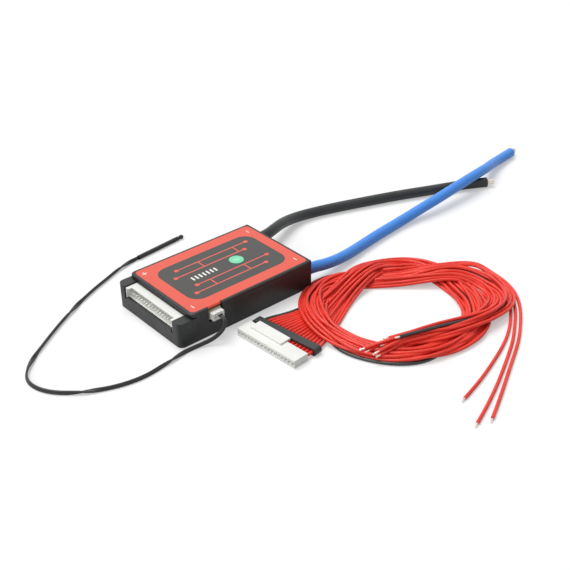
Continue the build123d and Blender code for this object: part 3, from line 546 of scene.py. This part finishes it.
corner_marks = (plus_mark(-33.0, 22.5) + minus_mark(-33.0, -22.5)
                + minus_mark(40.5, 21.5) + minus_mark(40.5, -21.5))
printed_film("label_film", CORAL, 0.42, 0.3, [
    (FIELD_GREY, [LABEL_FIELD]), (CORAL, label_tracks()),
    (INK_WHITE, corner_marks + LABEL_BARS)])
low, high = [Vector(corner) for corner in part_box("inspection_sticker")]
sticker = (low + high) / 2 / MM
printed_film("sticker_green", (0.17, 0.70, 0.41), 0.3, 0.5, [
    ((0.42, 0.84, 0.64), [(sticker.x, sticker.y + 1.1 * row, 2.4 - 0.5 * abs(row), 0.22, 0.2)
                          for row in (-1, 0, 1)])])
print("the label has", len(label_tracks()) + 1, "printed shapes beside its marks")

# %% [markdown]
# The circuit board and the rest of the inside can't be seen while the cover is on, but the
# model can be taken apart. The board's green is lacquer over copper: tracks show as slightly
# lighter, raised lines. A brick pattern with thin mortar gives such a net of straight lines.

# %% Circuit board
def board_lacquer():
    tree, shader, place = new_material("board_green", coat=0.6, coat_roughness=0.12)
    tracks = add_node(tree, "ShaderNodeTexBrick", {
        "Vector": place, "Scale": 160.0, "Mortar Size": 0.09}).outputs["Fac"]
    smudge = use_group(tree, handling, place, Smudge_Scale=60.0)["Smudge"]
    base = blend_colours(tree, tracks, (0.012, 0.085, 0.03), (0.03, 0.16, 0.06))
    base = blend_colours(tree, calculate(tree, "MULTIPLY", smudge, 0.3), base, (0.02, 0.1, 0.05))
    surface(tree, shader, base, between(tree, smudge, 0.0, 1.0, 0.3, 0.42), {
        "Height": tracks, "Distance": 0.00003})


board_lacquer()
for part in frame["record"]["subparts"]:
    for slot in cad_nodes[part["node"]].material_slots:
        slot.material = FINISHES[part["material_slot"]]

# %% [markdown]
# A few helpers that every later cell uses. A piece is made either from a finished mesh or from
# a curve. Each one is put on the part's single body, takes the finish of its slot, and shows in
# place of the plain solid that stands for it in the engineering model.
#
# A cord's line is a NURBS curve. It passes near its control points, not through them, so its
# real course and length are read from the curve itself.

# %% Helpers for pieces
BODY = "root"


def add_piece(name, data, slot, *solids):
    """Puts a mesh or curve on the part, in its slot's finish, in place of these solids."""
    piece = add_object(name, data)
    if not data.materials:
        data.materials.append(FINISHES[slot])
    if data.id_type == "MESH":
        data.shade_smooth()
    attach(piece, BODY)
    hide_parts(*solids)
    return piece


def route_curve(name, points, radius=0.0, sides=3, steps=12):
    """A smooth NURBS line through space, with a round section where a radius is given."""
    curve = bpy.data.curves.new(name, "CURVE")
    curve.dimensions = "3D"
    curve.resolution_u = steps
    curve.bevel_depth = radius
    curve.bevel_resolution = sides
    curve.use_fill_caps = radius > 0
    spline = curve.splines.new("NURBS")
    spline.points.add(len(points) - 1)
    for control, point in zip(spline.points, points):
        control.co = (*point, 1.0)
    spline.order_u = 3
    spline.use_endpoint_u = True
    return curve


def line_points(points):
    """The points that a route's own NURBS line passes through."""
    curve = route_curve("line", points)
    holder = add_object("line", curve)
    bpy.context.view_layer.update()
    mesh = bpy.data.meshes.new_from_object(holder)
    line = [v.co.copy() for v in mesh.vertices]
    bpy.data.objects.remove(holder)
    bpy.data.meshes.remove(mesh)
    bpy.data.curves.remove(curve)
    return line


def line_length(line):
    return sum((b - a).length for a, b in zip(line, line[1:]))


def evenly(line, count):
    """The same line as so many points, evenly spaced."""
    line = np.array([tuple(p) for p in line])
    steps = np.linalg.norm(np.diff(line, axis=0), axis=1)
    along = np.concatenate([[0.0], np.cumsum(steps)])
    wanted = np.linspace(0.0, along[-1], count)
    return np.stack([np.interp(wanted, along, line[:, axis]) for axis in range(3)], axis=1)


# %% [markdown]
# Every wire ends in a few millimetres of bare strands, twisted by hand and tinned. The same
# goes for the two power cables, only with more strands. One Geometry Nodes tree makes both.
# It lays out the strands as sunflower seeds lie, draws each one as a twisted line with a round
# section, and sets a copy of that bundle on the wire's end, turned along the wire. Each end is
# one vertex of a small mesh, which carries its direction as an attribute.

# %% Stripped ends
SUNFLOWER_ANGLE = 2.39996
STRAND_POINTS = 6
STRAND_SIDES = 6
INSIDE_JACKET = 0.0003
STRANDED_INPUTS = {
    "Ends": "Geometry", "Strands": "Int", "Bundle Radius": "Float", "Strand Radius": "Float",
    "Length": "Float", "Twist": "Float", "Finish": "Material"}


def stranded_end_tree():
    tree = bpy.data.node_groups.new("stranded_end", "GeometryNodeTree")
    for label, kind in STRANDED_INPUTS.items():
        tree.interface.new_socket(label, in_out="INPUT", socket_type="NodeSocket" + kind)
    tree.interface.new_socket("Bundles", in_out="OUTPUT", socket_type="NodeSocketGeometry")
    given = tree.nodes.new("NodeGroupInput").outputs

    def add(kind, inputs=(), **settings):
        return add_node(tree, kind, inputs, **settings).outputs[0]

    def maths(operation, *values):
        return calculate(tree, operation, *values)

    def polar(radius, angle, height):
        return add("ShaderNodeCombineXYZ", {
            0: maths("MULTIPLY", radius, maths("COSINE", angle)),
            1: maths("MULTIPLY", radius, maths("SINE", angle)), 2: height})

    index = add("GeometryNodeInputIndex")
    share = maths("DIVIDE", maths("ADD", index, 0.5), given["Strands"])
    reach = maths("MULTIPLY", maths("SQRT", share), given["Bundle Radius"])
    seed = polar(reach, maths("MULTIPLY", index, SUNFLOWER_ANGLE), 0.0)
    seeds = add("GeometryNodePoints", {"Count": given["Strands"], "Position": seed})

    top = add("ShaderNodeCombineXYZ", {2: given["Length"]})
    strand = add("GeometryNodeCurvePrimitiveLine", {"End": top})
    strand = add("GeometryNodeResampleCurve", {"Curve": strand, "Count": STRAND_POINTS})
    strands = add("GeometryNodeInstanceOnPoints", {"Points": seeds, "Instance": strand})
    strands = add("GeometryNodeRealizeInstances", {0: strands})

    x, y, height = add_node(tree, "ShaderNodeSeparateXYZ", {
        0: add("GeometryNodeInputPosition")}).outputs
    out = maths("SQRT", maths("ADD", maths("MULTIPLY", x, x), maths("MULTIPLY", y, y)))
    angle = maths("ADD", maths("ARCTAN2", y, x), maths("MULTIPLY", height, given["Twist"]))
    strands = add("GeometryNodeSetPosition", {
        "Geometry": strands, "Position": polar(out, angle, height)})
    ring = add("GeometryNodeCurvePrimitiveCircle", {
        "Resolution": STRAND_SIDES, "Radius": given["Strand Radius"]})
    bundle = add("GeometryNodeCurveToMesh", {
        "Curve": strands, "Profile Curve": ring, "Fill Caps": True})

    aim = add("GeometryNodeInputNamedAttribute", {"Name": "aim"}, data_type="FLOAT_VECTOR")
    turn = add("FunctionNodeAlignRotationToVector", {"Vector": aim}, axis="Z")
    placed = add("GeometryNodeInstanceOnPoints", {
        "Points": given["Ends"], "Instance": bundle, "Rotation": turn})
    real = add("GeometryNodeRealizeInstances", {0: placed})
    finished = add("GeometryNodeSetMaterial", {"Geometry": real, "Material": given["Finish"]})
    feed(tree, tree.nodes.new("NodeGroupOutput"), {0: finished})
    return tree


stranded_end = stranded_end_tree()
print("one tree with", len(stranded_end.nodes), "nodes makes the stripped ends")

# %% [markdown]
# A tree runs as a modifier on some object. Here that object is only a holder with one vertex.
# The evaluated result is kept as a plain mesh, and the holder goes away with its modifier.

# %% Bake a stripped end
def bake(name, tree, data, values):
    """Runs a Geometry Nodes tree on some mesh data and keeps the result as a plain mesh."""
    holder = add_object(name + "_holder", data)
    modifier = holder.modifiers.new(name, "NODES")
    modifier.node_group = tree
    for socket in tree.interface.items_tree:
        if socket.name in values:
            modifier[socket.identifier] = values[socket.name]
    bpy.context.view_layer.update()
    evaluated = holder.evaluated_get(bpy.context.evaluated_depsgraph_get())
    finished = bpy.data.meshes.new_from_object(evaluated)
    finished.name = name
    bpy.data.objects.remove(holder)
    return finished


def stripped_end(name, points, strands, bundle, strand, length, twist, *solids):
    """Bare strands on the last point of a cord, heading on as the cord does."""
    way = (points[-1] - points[-2]).normalized()
    mesh = bpy.data.meshes.new(name + "_place")
    mesh.from_pydata([points[-1] - INSIDE_JACKET * way], [], [])
    mesh.attributes.new("aim", "FLOAT_VECTOR", "POINT").data[0].vector = way
    data = bake(name, stranded_end, mesh, {
        "Strands": strands, "Bundle Radius": bundle, "Strand Radius": strand, "Length": length,
        "Twist": twist, "Finish": FINISHES["tinned_copper"]})
    return add_piece(name, data, "tinned_copper", *solids)


# %% [markdown]
# The two power cables are thick, soft silicone cable. Each is one NURBS curve whose control
# points follow the route of the engineering model, so it lies where the solid lies but bends as
# smoothly as rubber does. The blue one passes over the black one in a long low hump. A curve
# with a round bevel is the lightest way to make a cable of even thickness.

# %% Routes of the power cables
POWER_DIAMETER = 0.0068
POWER_FLOOR = 3.45
POWER_HUMP = 10.7


def on_table(height, *places):
    """Places on the table, each as x and y, with the height of the cord's middle added."""
    return [(x, y, height) for x, y in places]


P_CABLE_ROUTE = metres([
    (45, 22.3, 9.4), (55, 22.3, 9.4), (65, 25.5, 9.2), (73.5, 29.2, 8.0), (82, 32.4, 6.2),
    (91.5, 34.5, 4.4),
    *on_table(POWER_FLOOR, (102, 34), (115, 30.4), (127, 26.4), (144, 20.4), (165, 12.7),
              (186, 3.6), (204, -3.7), (214, -8.2), (223.5, -13.7))])
B_CABLE_ROUTE = metres([
    (45, -23.9, 9.4), (53, -24.2, 9.0), (64, -24.4, 6.8), (80, -22.2, 4.6),
    *on_table(POWER_FLOOR, (96, -18.7), (114.5, -15.8), (131.5, -13.9)),
    (147, -13.1, 4.5), (157.7, -13.6, 6.4), (171.8, -14.0, 8.3), (190.6, -12.9, 9.9),
    (204, -11.8, POWER_HUMP), (221, -9.6, POWER_HUMP), (232.6, -6.0, 8.6), (244.5, -1.0, 6.0),
    (258, 2.8, 4.0), (275, 5.6, POWER_FLOOR)])
print("the cables have", len(P_CABLE_ROUTE), "and", len(B_CABLE_ROUTE), "control points")

# %% Power cables
POWER_STRANDS = 61
POWER_BUNDLE = 0.0016
POWER_STRAND = 0.00022
POWER_BARE = 0.0054
POWER_TWIST = 120.0


def power_cable(name, route, slot):
    curve = route_curve(name + "_jacket", route, POWER_DIAMETER / 2, sides=8, steps=16)
    cable = add_piece(name + "_jacket", curve, slot, name)
    strands = stripped_end(name + "_strands", route, POWER_STRANDS, POWER_BUNDLE, POWER_STRAND,
                           POWER_BARE, POWER_TWIST, name + "_end")
    print(name, "is", round(line_length(line_points(route)), 4), "m long")


power_cable("p_minus_cable", P_CABLE_ROUTE, "cable_black")
power_cable("b_minus_cable", B_CABLE_ROUTE, "cable_blue")

# %% [markdown]
# The temperature lead is two thin black conductors side by side. The pair rolls over itself
# every few centimetres, which shows as a narrowing and widening of the lead. So it is made as
# a mesh: a figure-of-eight section carried along the line and turned a little at each step.

# %% Line of the temperature lead
LEAD_STEP = 0.0012
NTC_FLOOR = 1.25
SLEEVE_TURN = math.radians(6)
SLEEVE_END = (-11, 64, 1.4)
NTC_ROUTE = metres([
    (-21.9, -32, 12.55), (-21.9, -36.6, 12.55), (-24.5, -38.1, 7.95), (-30.4, -36.6, 3.5),
    *on_table(NTC_FLOOR, (-38.6, -33.5), (-48.6, -33.1), (-61, -35.4), (-76, -37.2),
              (-91, -34.2), (-104, -27.6), (-114.5, -19.8), (-120.6, -10.2), (-121.6, -0.4),
              (-117.2, 8.0), (-107.5, 16.4), (-95, 25.4), (-81, 34.8), (-65.5, 43.9),
              (-50.5, 51.4), (-38, 56.4), (-28.4, 60.6)),
    (-19.6, 64.0 - 8.6 * math.tan(SLEEVE_TURN), 1.4), SLEEVE_END])
rough_line = line_points(NTC_ROUTE)
rough_length = line_length(rough_line)
lead_line = [Vector(p) for p in evenly(rough_line, round(rough_length / LEAD_STEP))]
print("the temperature lead has", len(lead_line), "steps of", LEAD_STEP, "m")

# %% [markdown]
# The section needs two side directions at every point. They are carried along the line without
# a twist of their own, and the roll is then added to them. The points of all the turned
# sections are rings, and a skin over the rings is the surface of the lead.

# %% Frames along a line, and a skin over rings
UP = Vector((0, 0, 1))


def travelling_frames(line):
    """A pair of side directions at each point, carried along the line without a twist."""
    frames = []
    side = None
    for i in range(len(line)):
        ahead = (line[min(i + 1, len(line) - 1)] - line[max(i - 1, 0)]).normalized()
        if side is None:
            side = ahead.cross(UP).normalized()
        side = (side - ahead * side.dot(ahead)).normalized()
        frames.append((side, ahead.cross(side)))
    return frames


def skin(name, rings):
    """A closed mesh over a row of rings that have equally many points each."""
    shape = bmesh.new()
    rings = [[shape.verts.new(point) for point in ring] for ring in rings]
    for low, high in zip(rings, rings[1:]):
        for j in range(len(low)):
            k = (j + 1) % len(low)
            shape.faces.new((low[j], low[k], high[k], high[j]))
    shape.faces.new(rings[0][::-1])
    shape.faces.new(rings[-1])
    bmesh.ops.recalc_face_normals(shape, faces=shape.faces)
    return to_mesh(name, shape)


# %% Temperature lead
LEAD_WIDTH = 0.0024
LEAD_CORE = 0.0012
LEAD_ROLL_EVERY = 0.052
LEAD_FLAT_SHARE = 0.55
CORE_ARC = 1.44
CORE_POINTS = 9


def twin_section():
    """Outline of two round cores side by side, joined by a thin web."""
    outline = []
    gap = LEAD_WIDTH - LEAD_CORE
    for centre, start in ((gap / 2, -0.72), (-gap / 2, 0.28)):
        for i in range(CORE_POINTS):
            angle = math.pi * (start + CORE_ARC * i / (CORE_POINTS - 1))
            outline.append((centre + LEAD_CORE / 2 * math.cos(angle),
                            LEAD_CORE / 2 * math.sin(angle)))
    return outline


def lead_roll(turns):
    """Flat for a while, then a quick half turn, again and again."""
    whole, part = divmod(turns, 1.0)
    eased = min(1.0, max(0.0, (part - LEAD_FLAT_SHARE) / (1.0 - LEAD_FLAT_SHARE)))
    return math.pi * (whole + eased * eased * (3 - 2 * eased))


def lead_mesh(line, length):
    rings = []
    for i, (point, (side, rise)) in enumerate(zip(line, travelling_frames(line))):
        angle = lead_roll(i / (len(line) - 1) * (length / LEAD_ROLL_EVERY))
        across = side * math.cos(angle) + rise * math.sin(angle)
        upward = rise * math.cos(angle) - side * math.sin(angle)
        rings.append([point + across * u + upward * v for u, v in twin_section()])
    return skin("temperature_lead", rings)


ntc_lead = add_piece("temperature_lead", lead_mesh(lead_line, rough_length), "lead_black",
                     "ntc_lead")
print("the temperature lead rolls over", round(rough_length / LEAD_ROLL_EVERY, 1), "times")

# %% [markdown]
# The sensor at the end of the lead is a glass bead dipped in black resin. The dip runs back
# into the shrunk sleeve, so the end is a drop without an edge. It is turned, as on a lathe,
# from a few radii along the sleeve's direction.

# %% Sensor bead
SLEEVE_WAY = Vector((math.cos(SLEEVE_TURN), math.sin(SLEEVE_TURN), 0))
SLEEVE_LENGTH = 0.032
BEAD_PROFILE = [(-1.5, 0.9), (0.0, 0.98), (0.9, 1.06), (1.8, 1.26), (2.6, 1.38), (3.3, 1.3),
                (3.9, 0.98), (4.2, 0.55), (4.3, 0.15)]
BEAD_SIDES = 24


def turned(name, start, way, profile, sides):
    """Turns a profile of (distance, radius) pairs in mm about a line from a place."""
    side = way.cross(UP).normalized()
    rise = side.cross(way)
    spokes = [2 * math.pi * i / sides for i in range(sides)]
    return skin(name, [
        [start + way * reach * MM + (side * math.cos(a) + rise * math.sin(a)) * radius * MM
         for a in spokes] for reach, radius in profile])


bead_start = Vector(SLEEVE_END) * MM + SLEEVE_WAY * SLEEVE_LENGTH
bead_mesh = turned("sensor_bead", bead_start, SLEEVE_WAY, BEAD_PROFILE, BEAD_SIDES)
sensor_bead = add_piece("sensor_bead", bead_mesh, "lead_black", "ntc_bead")
print("the temperature lead is", round(line_length(lead_line), 4), "m long")

# %% [markdown]
# The cell harness is seventeen thin wires, the first one black and the others red. They leave
# the plug side by side, pass under a flat black band, fan into the coil, and go round it
# nearly twice. The coil is loose: its course crosses itself five times, and it is widest at
# the right and narrowest at the front.
#
# Only the course of the whole bundle is given, as a few stations with a place, the height of the
# bundle's underside, its width, and how far the wires are stacked. A loop works out the turns of
# all seventeen wires from it. Flat, they lie in one row. Stacked, they lie as seven, six and four
# on top of each other, which is how a round bundle settles on a table.

# %% The course of the harness
WIRE_DIAMETER = 0.0019
WIRES = 17
WIRE_FLOOR = 1.0
COURSE = [
    (16, -57.6, 0, 32.5, 0), (28, -55.3, 0, 25, 0.25), (40, -51.7, 0, 19, 0.7),
    (50, -49.2, 1.2, 15.5, 1), (59, -46.8, 2.8, 14, 1), (70, -44.5, 5.0, 14, 1),
    (82, -42.5, 4.0, 14.5, 1), (94, -43.5, 0.6, 15, 1), (104, -50, 0, 15, 1),
    (110, -60, 0, 14, 1), (111, -74, 0, 14, 1), (108, -88, 0, 15, 1), (102, -103, 0, 15, 1),
    (91, -115, 0, 14, 1), (77, -121.5, 0, 13.5, 1), (60, -122, 0, 14, 1),
    (44.8, -117.5, 0, 13.5, 1), (31.4, -107, 0, 13, 1), (23.5, -93, 0, 12, 1),
    (20.5, -79, 0.6, 12, 1), (20.5, -67, 2.1, 12, 1), (25.5, -54, 2.1, 12, 1),
    (35, -42.5, 1, 13, 1), (49, -35.5, 0, 14, 1), (63, -37, 0, 14, 1), (75, -46, 0, 14, 1),
    (88, -58.5, 2.0, 15, 1), (103, -69.5, 5.0, 19, 1), (116, -77.5, 5.2, 21, 1),
    (123, -88, 2.5, 21, 1), (124, -100.5, 0.3, 19, 1), (118, -112, 1.5, 17, 1),
    (107, -119.5, 4, 16, 1), (93, -121.5, 5, 14, 1), (77, -119.5, 5.3, 13, 1),
    (62, -115.5, 5.3, 12, 1), (50, -111, 5.2, 12, 1), (40, -106.5, 5, 12, 1),
    (30, -103.5, 4.6, 14, 1), (20, -101.5, 4.2, 16, 1)]
SAMPLES = 24


def smooth_course(stations, samples=SAMPLES):
    """A smooth line through the stations, each of them with all its values."""
    rows = np.array(stations, float)
    rows = np.vstack([2 * rows[0] - rows[1], rows, 2 * rows[-1] - rows[-2]])
    out = []
    for i in range(1, len(rows) - 2):
        a, b, c, d = rows[i - 1:i + 3]
        for t in np.arange(samples) / samples:
            out.append(0.5 * (2 * b + (c - a) * t + (2 * a - 5 * b + 4 * c - d) * t * t
                              + (3 * b - a - 3 * c + d) * t ** 3))
    out.append(rows[-2])
    return np.array(out)


def course_length(line):
    return float(np.linalg.norm(np.diff(line, axis=0), axis=1).sum())


course = smooth_course(COURSE)
print("the bundle's course is", round(course_length(course[:, :2])), "mm long")

# %% [markdown]
# Three wires leave the coil on its right and lie free in front of it, each on a route of its
# own. The black wire is the only one that can be followed by eye: it shows in three stretches.
# So it has places of its own across the bundle, while a red one keeps the place in the stack
# that it starts with. All of them wander a little, as wires do.

# %% Free ends, the black wire and the stack
FREE_WIRES = (1, 2, 3)
FREE_LEAVE = 28
FREE_ROUTES = [
    [(127, -79), (130.5, -89), (128, -101), (120, -113), (110, -123), (99, -131.2),
     (86, -138.4), (72, -143.9), (58, -148.7), (45, -152.5), (33, -155.4)],
    [(129, -77.5), (132.8, -88.5), (131, -101), (124, -113.5), (115, -123), (104, -131),
     (89, -141), (73, -149.4), (56, -157.8), (39, -165.3), (23, -171.5)],
    [(130, -75.5), (134.6, -88), (133.4, -101), (127, -113.5), (118.5, -123), (108, -131.6),
     (92, -142.6), (75, -151.6), (59, -159.9), (44.5, -167.4), (31, -174)]]
FREE_RISE = (6.5, 4.0, 2.2, 1.4)
BLACK_PLACES = np.array([
    (0, 1.0, 0), (5, 0.9, 0), (8, 0.1, 0), (13, -0.2, 0), (15, 0.0, 0), (16.3, 1.08, 0),
    (18.4, 1.08, 0), (19.6, 0.5, 0), (21.5, 0.2, 0), (24, 0.2, 0), (27, 0.1, -0.6),
    (30, 0.0, -0.4), (32.6, -0.3, 0.4), (34.2, -0.35, 2.4), (35.4, -0.1, 3.2), (37, 0.2, 3.3),
    (39, 0.3, 3.3)])
STACK_ROWS = (7, 6, 4)
STACK_REACH = 3
STACK = sorted([(i - (count - 1) / 2, layer) for layer, count in enumerate(STACK_ROWS)
                for i in range(count)], reverse=True)
print("the stack holds", len(STACK), "wires")

# %% [markdown]
# A wire starts in its mouth of the plug and runs straight through the band. From there its
# place is the course plus a step to the left and a height. It is flat in its row at first, and
# then it has its place in the stack. A few slow waves let it wander.

# %% One wire's start
PLUG_PITCH = 2.5
PLUG_PLACE = (-4.6, -59.2)
PLUG_TURN = math.radians(4)
BAND_PLACE_X = 1.2
BAND_TURN = math.radians(8)
BAND_OVERRUN = 3.6
BAND_HEIGHT = 2.375


def plug_run(wire):
    """The first stretch of a wire: out of its mouth in the plug, and straight through the band."""
    step = (WIRES - 1) / 2 - wire
    across = step * PLUG_PITCH
    x = PLUG_PLACE[0] - across * math.sin(PLUG_TURN)
    y = PLUG_PLACE[1] + across * math.cos(PLUG_TURN)
    band_y = PLUG_PLACE[1] + (BAND_PLACE_X - PLUG_PLACE[0]) * math.tan(PLUG_TURN)
    to_band = (BAND_PLACE_X - x) * math.cos(BAND_TURN) + (band_y - y) * math.sin(BAND_TURN)
    reach = to_band / math.cos(BAND_TURN - PLUG_TURN) + BAND_OVERRUN
    end = (x + reach * math.cos(PLUG_TURN), y + reach * math.sin(PLUG_TURN))
    return [(x, y, BAND_HEIGHT), ((x + end[0]) / 2, (y + end[1]) / 2, BAND_HEIGHT),
            (end[0], end[1], BAND_HEIGHT)]


# %% One wire of the bundle
WIDEST_SHARE = 1.12
LOOSE_FROM, LOOSE_TO = 3, 6
WANDER = 1.5
BLACK_WANDER = 0.3
WANDER_RISE = 0.7
LIFT_WAVES = 5
LEAST_RISE_SQUARED = 0.9


def eased(value, start, end):
    """0 before the start, 1 after the end, and a soft rise between them."""
    share = np.clip((value - start) / (end - start), 0, 1)
    return share * share * (3 - 2 * share)


def bundle_wire(wire, course, rng):
    """One wire's place at every sample of the bundle's course."""
    ahead = np.gradient(course[:, :2], axis=0)
    ahead /= np.linalg.norm(ahead, axis=1)[:, None]
    left = np.stack([-ahead[:, 1], ahead[:, 0]], axis=1)
    station = np.arange(len(course)) / SAMPLES
    flat_share = 1 - wire / ((WIRES - 1) / 2)
    stacked_share = STACK[wire][0] / STACK_REACH * np.ones(len(course))
    layer = STACK[wire][1] * np.ones(len(course))
    if wire == 0:
        stacked_share = np.interp(station, BLACK_PLACES[:, 0], BLACK_PLACES[:, 1])
        layer = np.interp(station, BLACK_PLACES[:, 0], BLACK_PLACES[:, 2])
    width, stacked = course[:, 3], np.clip(course[:, 4], 0, 1)
    loose = eased(station, LOOSE_FROM, LOOSE_TO)
    span = len(COURSE)
    for amount, waves in ((WANDER, (3.0, 6.5)), (0.5 * WANDER, (8.0, 13.0))):
        turns = rng.uniform(*waves)
        start = rng.uniform(0, 2 * math.pi)
        sway = amount * loose * np.sin(2 * math.pi * turns * station / span + start)
        sway *= BLACK_WANDER if wire == 0 else 1.0
        stacked_share = stacked_share + sway / (width / 2)
    lift = rng.uniform(0, 2 * math.pi)
    stacked_share = np.clip(stacked_share, -WIDEST_SHARE, WIDEST_SHARE)
    across = width / 2 * (flat_share * (1 - stacked) + stacked_share * stacked)
    pitch = width / (2 * STACK_REACH)
    rise_squared = (WIRE_DIAMETER / MM) ** 2 - (pitch / 2) ** 2
    rise = np.sqrt(np.clip(rise_squared, LEAST_RISE_SQUARED, None))
    height = WIRE_FLOOR + course[:, 2] + layer * rise * stacked
    wave = np.sin(2 * math.pi * LIFT_WAVES * station / span + lift)
    height = height + WANDER_RISE * loose * wave
    return np.column_stack([course[:, :2] + left * across[:, None], height])


# %% [markdown]
# Wires placed by rule alone cut into each other where the rounds cross. So they are settled:
# every wire becomes a row of beads. In each pass, beads that overlap push each other apart,
# nothing goes below the table, the wires sink a little, and each bead shares its shift with
# its neighbours along the wire, as a springy wire does. After some hundred passes the rounds
# lie on each other much as real ones do. But the beads stand further apart than a wire is
# thick. So wires side by side still press into each other by some tenths of a millimetre, and
# a few that cross go through each other. Finding the close pairs is the slow part, so the list
# of pairs is made anew only now and then.

# %% Pairs of beads that are close
OWN_BEADS = 8


def close_pairs(beads, owner, order, reach):
    """Pairs of beads of different wires, or far apart on one wire, nearer than the reach."""
    cells = np.floor(beads / reach).astype(int)
    table = {}
    for i, cell in enumerate(map(tuple, cells)):
        table.setdefault(cell, []).append(i)
    firsts, seconds = [], []
    beside = (-1, 0, 1)
    around = [(x, y, z) for x in beside for y in beside for z in beside]
    for cell, members in table.items():
        near = []
        for dx, dy, dz in around:
            near += table.get((cell[0] + dx, cell[1] + dy, cell[2] + dz), [])
        near = np.array(near)
        for i in members:
            others = near[near > i]
            gap = np.linalg.norm(beads[others] - beads[i], axis=1)
            apart = (owner[others] != owner[i]) | (np.abs(order[others] - order[i]) > OWN_BEADS)
            others = others[(gap < reach) & apart]
            firsts += [i] * len(others)
            seconds += others.tolist()
    return np.array(firsts), np.array(seconds)


# %% Settle the beads
PAIRS_EVERY = 20
SINK = 0.02
SINK_SHARE = 0.75
SWELL = 1.02
NEAR = 1.5
PUSH_UP = 0.08
PUSH_SHARE = 0.7
LONGEST_PUSH = 0.6
HELD_BEFORE = COURSE[0][0] - 6
TINY = 1e-9
LEAST_DISTANCE = 1e-6


def settle(wires, rounds):
    """Pushes overlapping wires apart. Each wire is an array of evenly spaced points in mm.
    Its stretch in the plug and the band stays where it is."""
    owner = np.concatenate([[w] * len(p) for w, p in enumerate(wires)])
    order = np.concatenate([np.arange(len(p)) for p in wires])
    start = np.vstack(wires)
    beads = start.copy()
    thick = WIRE_DIAMETER / MM * SWELL
    inner = (order > 0) & np.append(owner[1:] == owner[:-1], False)
    held = beads[:, 0] < HELD_BEFORE
    for turn in range(rounds):
        if turn % PAIRS_EVERY == 0:
            a, b = close_pairs(beads, owner, order, thick * NEAR)
        gap = beads[b] - beads[a]
        distance = np.maximum(np.linalg.norm(gap, axis=1), LEAST_DISTANCE)
        short = np.clip(thick - distance, 0, None)
        push = gap * (0.5 * short / distance)[:, None]
        push[:, 2] += PUSH_UP * short * np.sign(gap[:, 2] + TINY)
        shift = np.zeros_like(beads)
        for axis in range(3):
            shift[:, axis] += np.bincount(b, push[:, axis], len(beads))
            shift[:, axis] -= np.bincount(a, push[:, axis], len(beads))
        beads += PUSH_SHARE * np.clip(shift, -LONGEST_PUSH, LONGEST_PUSH)
        beads[:, 2] -= SINK if turn < rounds * SINK_SHARE else 0.0
        moved = beads - start
        shared = moved.copy()
        shared[1:-1] = 0.5 * moved[1:-1] + 0.25 * (moved[:-2] + moved[2:])
        moved[inner] = shared[inner]
        beads = start + moved
        beads[held] = start[held]
        beads[:, 2] = np.maximum(beads[:, 2], WIRE_FLOOR)
    overlap = short.max() if len(short) else 0.0
    print("the beads settled with at most", round(float(overlap), 2), "mm of overlap")
    return [beads[owner == w] for w in range(len(wires))]


# %% Lay and settle the wires
BEAD_STEP = 2.3
SETTLE_ROUNDS = 160
COURSE_SKIP = 8
FREE_SAMPLES = 12
TIP_STAGGER = 19.0
BLACK_SHORTER = 12.0
HARNESS_SEED = 7


def harness_wires():
    rng = random.Random(HARNESS_SEED)
    rows = []
    for wire in range(WIRES):
        body = bundle_wire(wire, course, rng)
        if wire in FREE_WIRES:
            route = FREE_ROUTES[FREE_WIRES.index(wire)]
            heights = list(FREE_RISE) + [WIRE_FLOOR] * (len(route) - len(FREE_RISE))
            free = [(x, y, z) for (x, y), z in zip(route, heights)]
            joined = [tuple(body[(FREE_LEAVE - k) * SAMPLES]) for k in (3, 2)] + free
            free = smooth_course(joined, FREE_SAMPLES)[FREE_SAMPLES:]
            body = np.vstack([body[:(FREE_LEAVE - 2) * SAMPLES], free])
        line = np.vstack([plug_run(wire), body[COURSE_SKIP:]])
        line = evenly(line, round(course_length(line) / BEAD_STEP))
        if wire not in FREE_WIRES:
            shorter = rng.uniform(0, TIP_STAGGER) + (BLACK_SHORTER if wire == 0 else 0.0)
            line = line[:len(line) - int(shorter / BEAD_STEP)]
        rows.append(line)
    return settle(rows, SETTLE_ROUNDS)


wires = harness_wires()

# %% [markdown]
# Each settled wire becomes one NURBS curve with a control point at every fourth bead, some
# thirty to a round, which keeps it round and smooth. The three wires whose ends lie free also
# stand for the three short tubes that the engineering model has in front of the coil.

# %% Wires of the harness
BEADS_PER_POINT = 4
TIP_STRANDS = 7
TIP_BUNDLE = 0.00042
TIP_STRAND = 0.00021
TIP_LENGTH = 0.0032
TIP_TWIST = 260.0


def wire_points(beads):
    picked = list(range(0, len(beads) - 2, BEADS_PER_POINT)) + [len(beads) - 1]
    return [Vector(beads[i]) * MM for i in picked]


def sense_wire(wire, points):
    number = f"{wire + 1:02d}"
    curve = route_curve("harness_wire_" + number, points, WIRE_DIAMETER / 2, sides=2, steps=4)
    solids = ["sense_wire_" + number, "sense_coil"]
    if wire in FREE_WIRES:
        solids.append(f"sense_end_{FREE_WIRES.index(wire) + 1}")
    piece = add_piece("harness_wire_" + number, curve,
                      "wire_black" if wire == 0 else "wire_red", *solids)
    tip = stripped_end("harness_tip_" + number, points, TIP_STRANDS, TIP_BUNDLE, TIP_STRAND,
                       TIP_LENGTH, TIP_TWIST,
                       "sense_end_tips" if wire in FREE_WIRES else "sense_coil")
    length = line_length(line_points(points))
    return length


lengths = [sense_wire(wire, wire_points(beads)) for wire, beads in enumerate(wires)]
print("the harness wires are", round(min(lengths), 3), "to", round(max(lengths), 3), "m long")
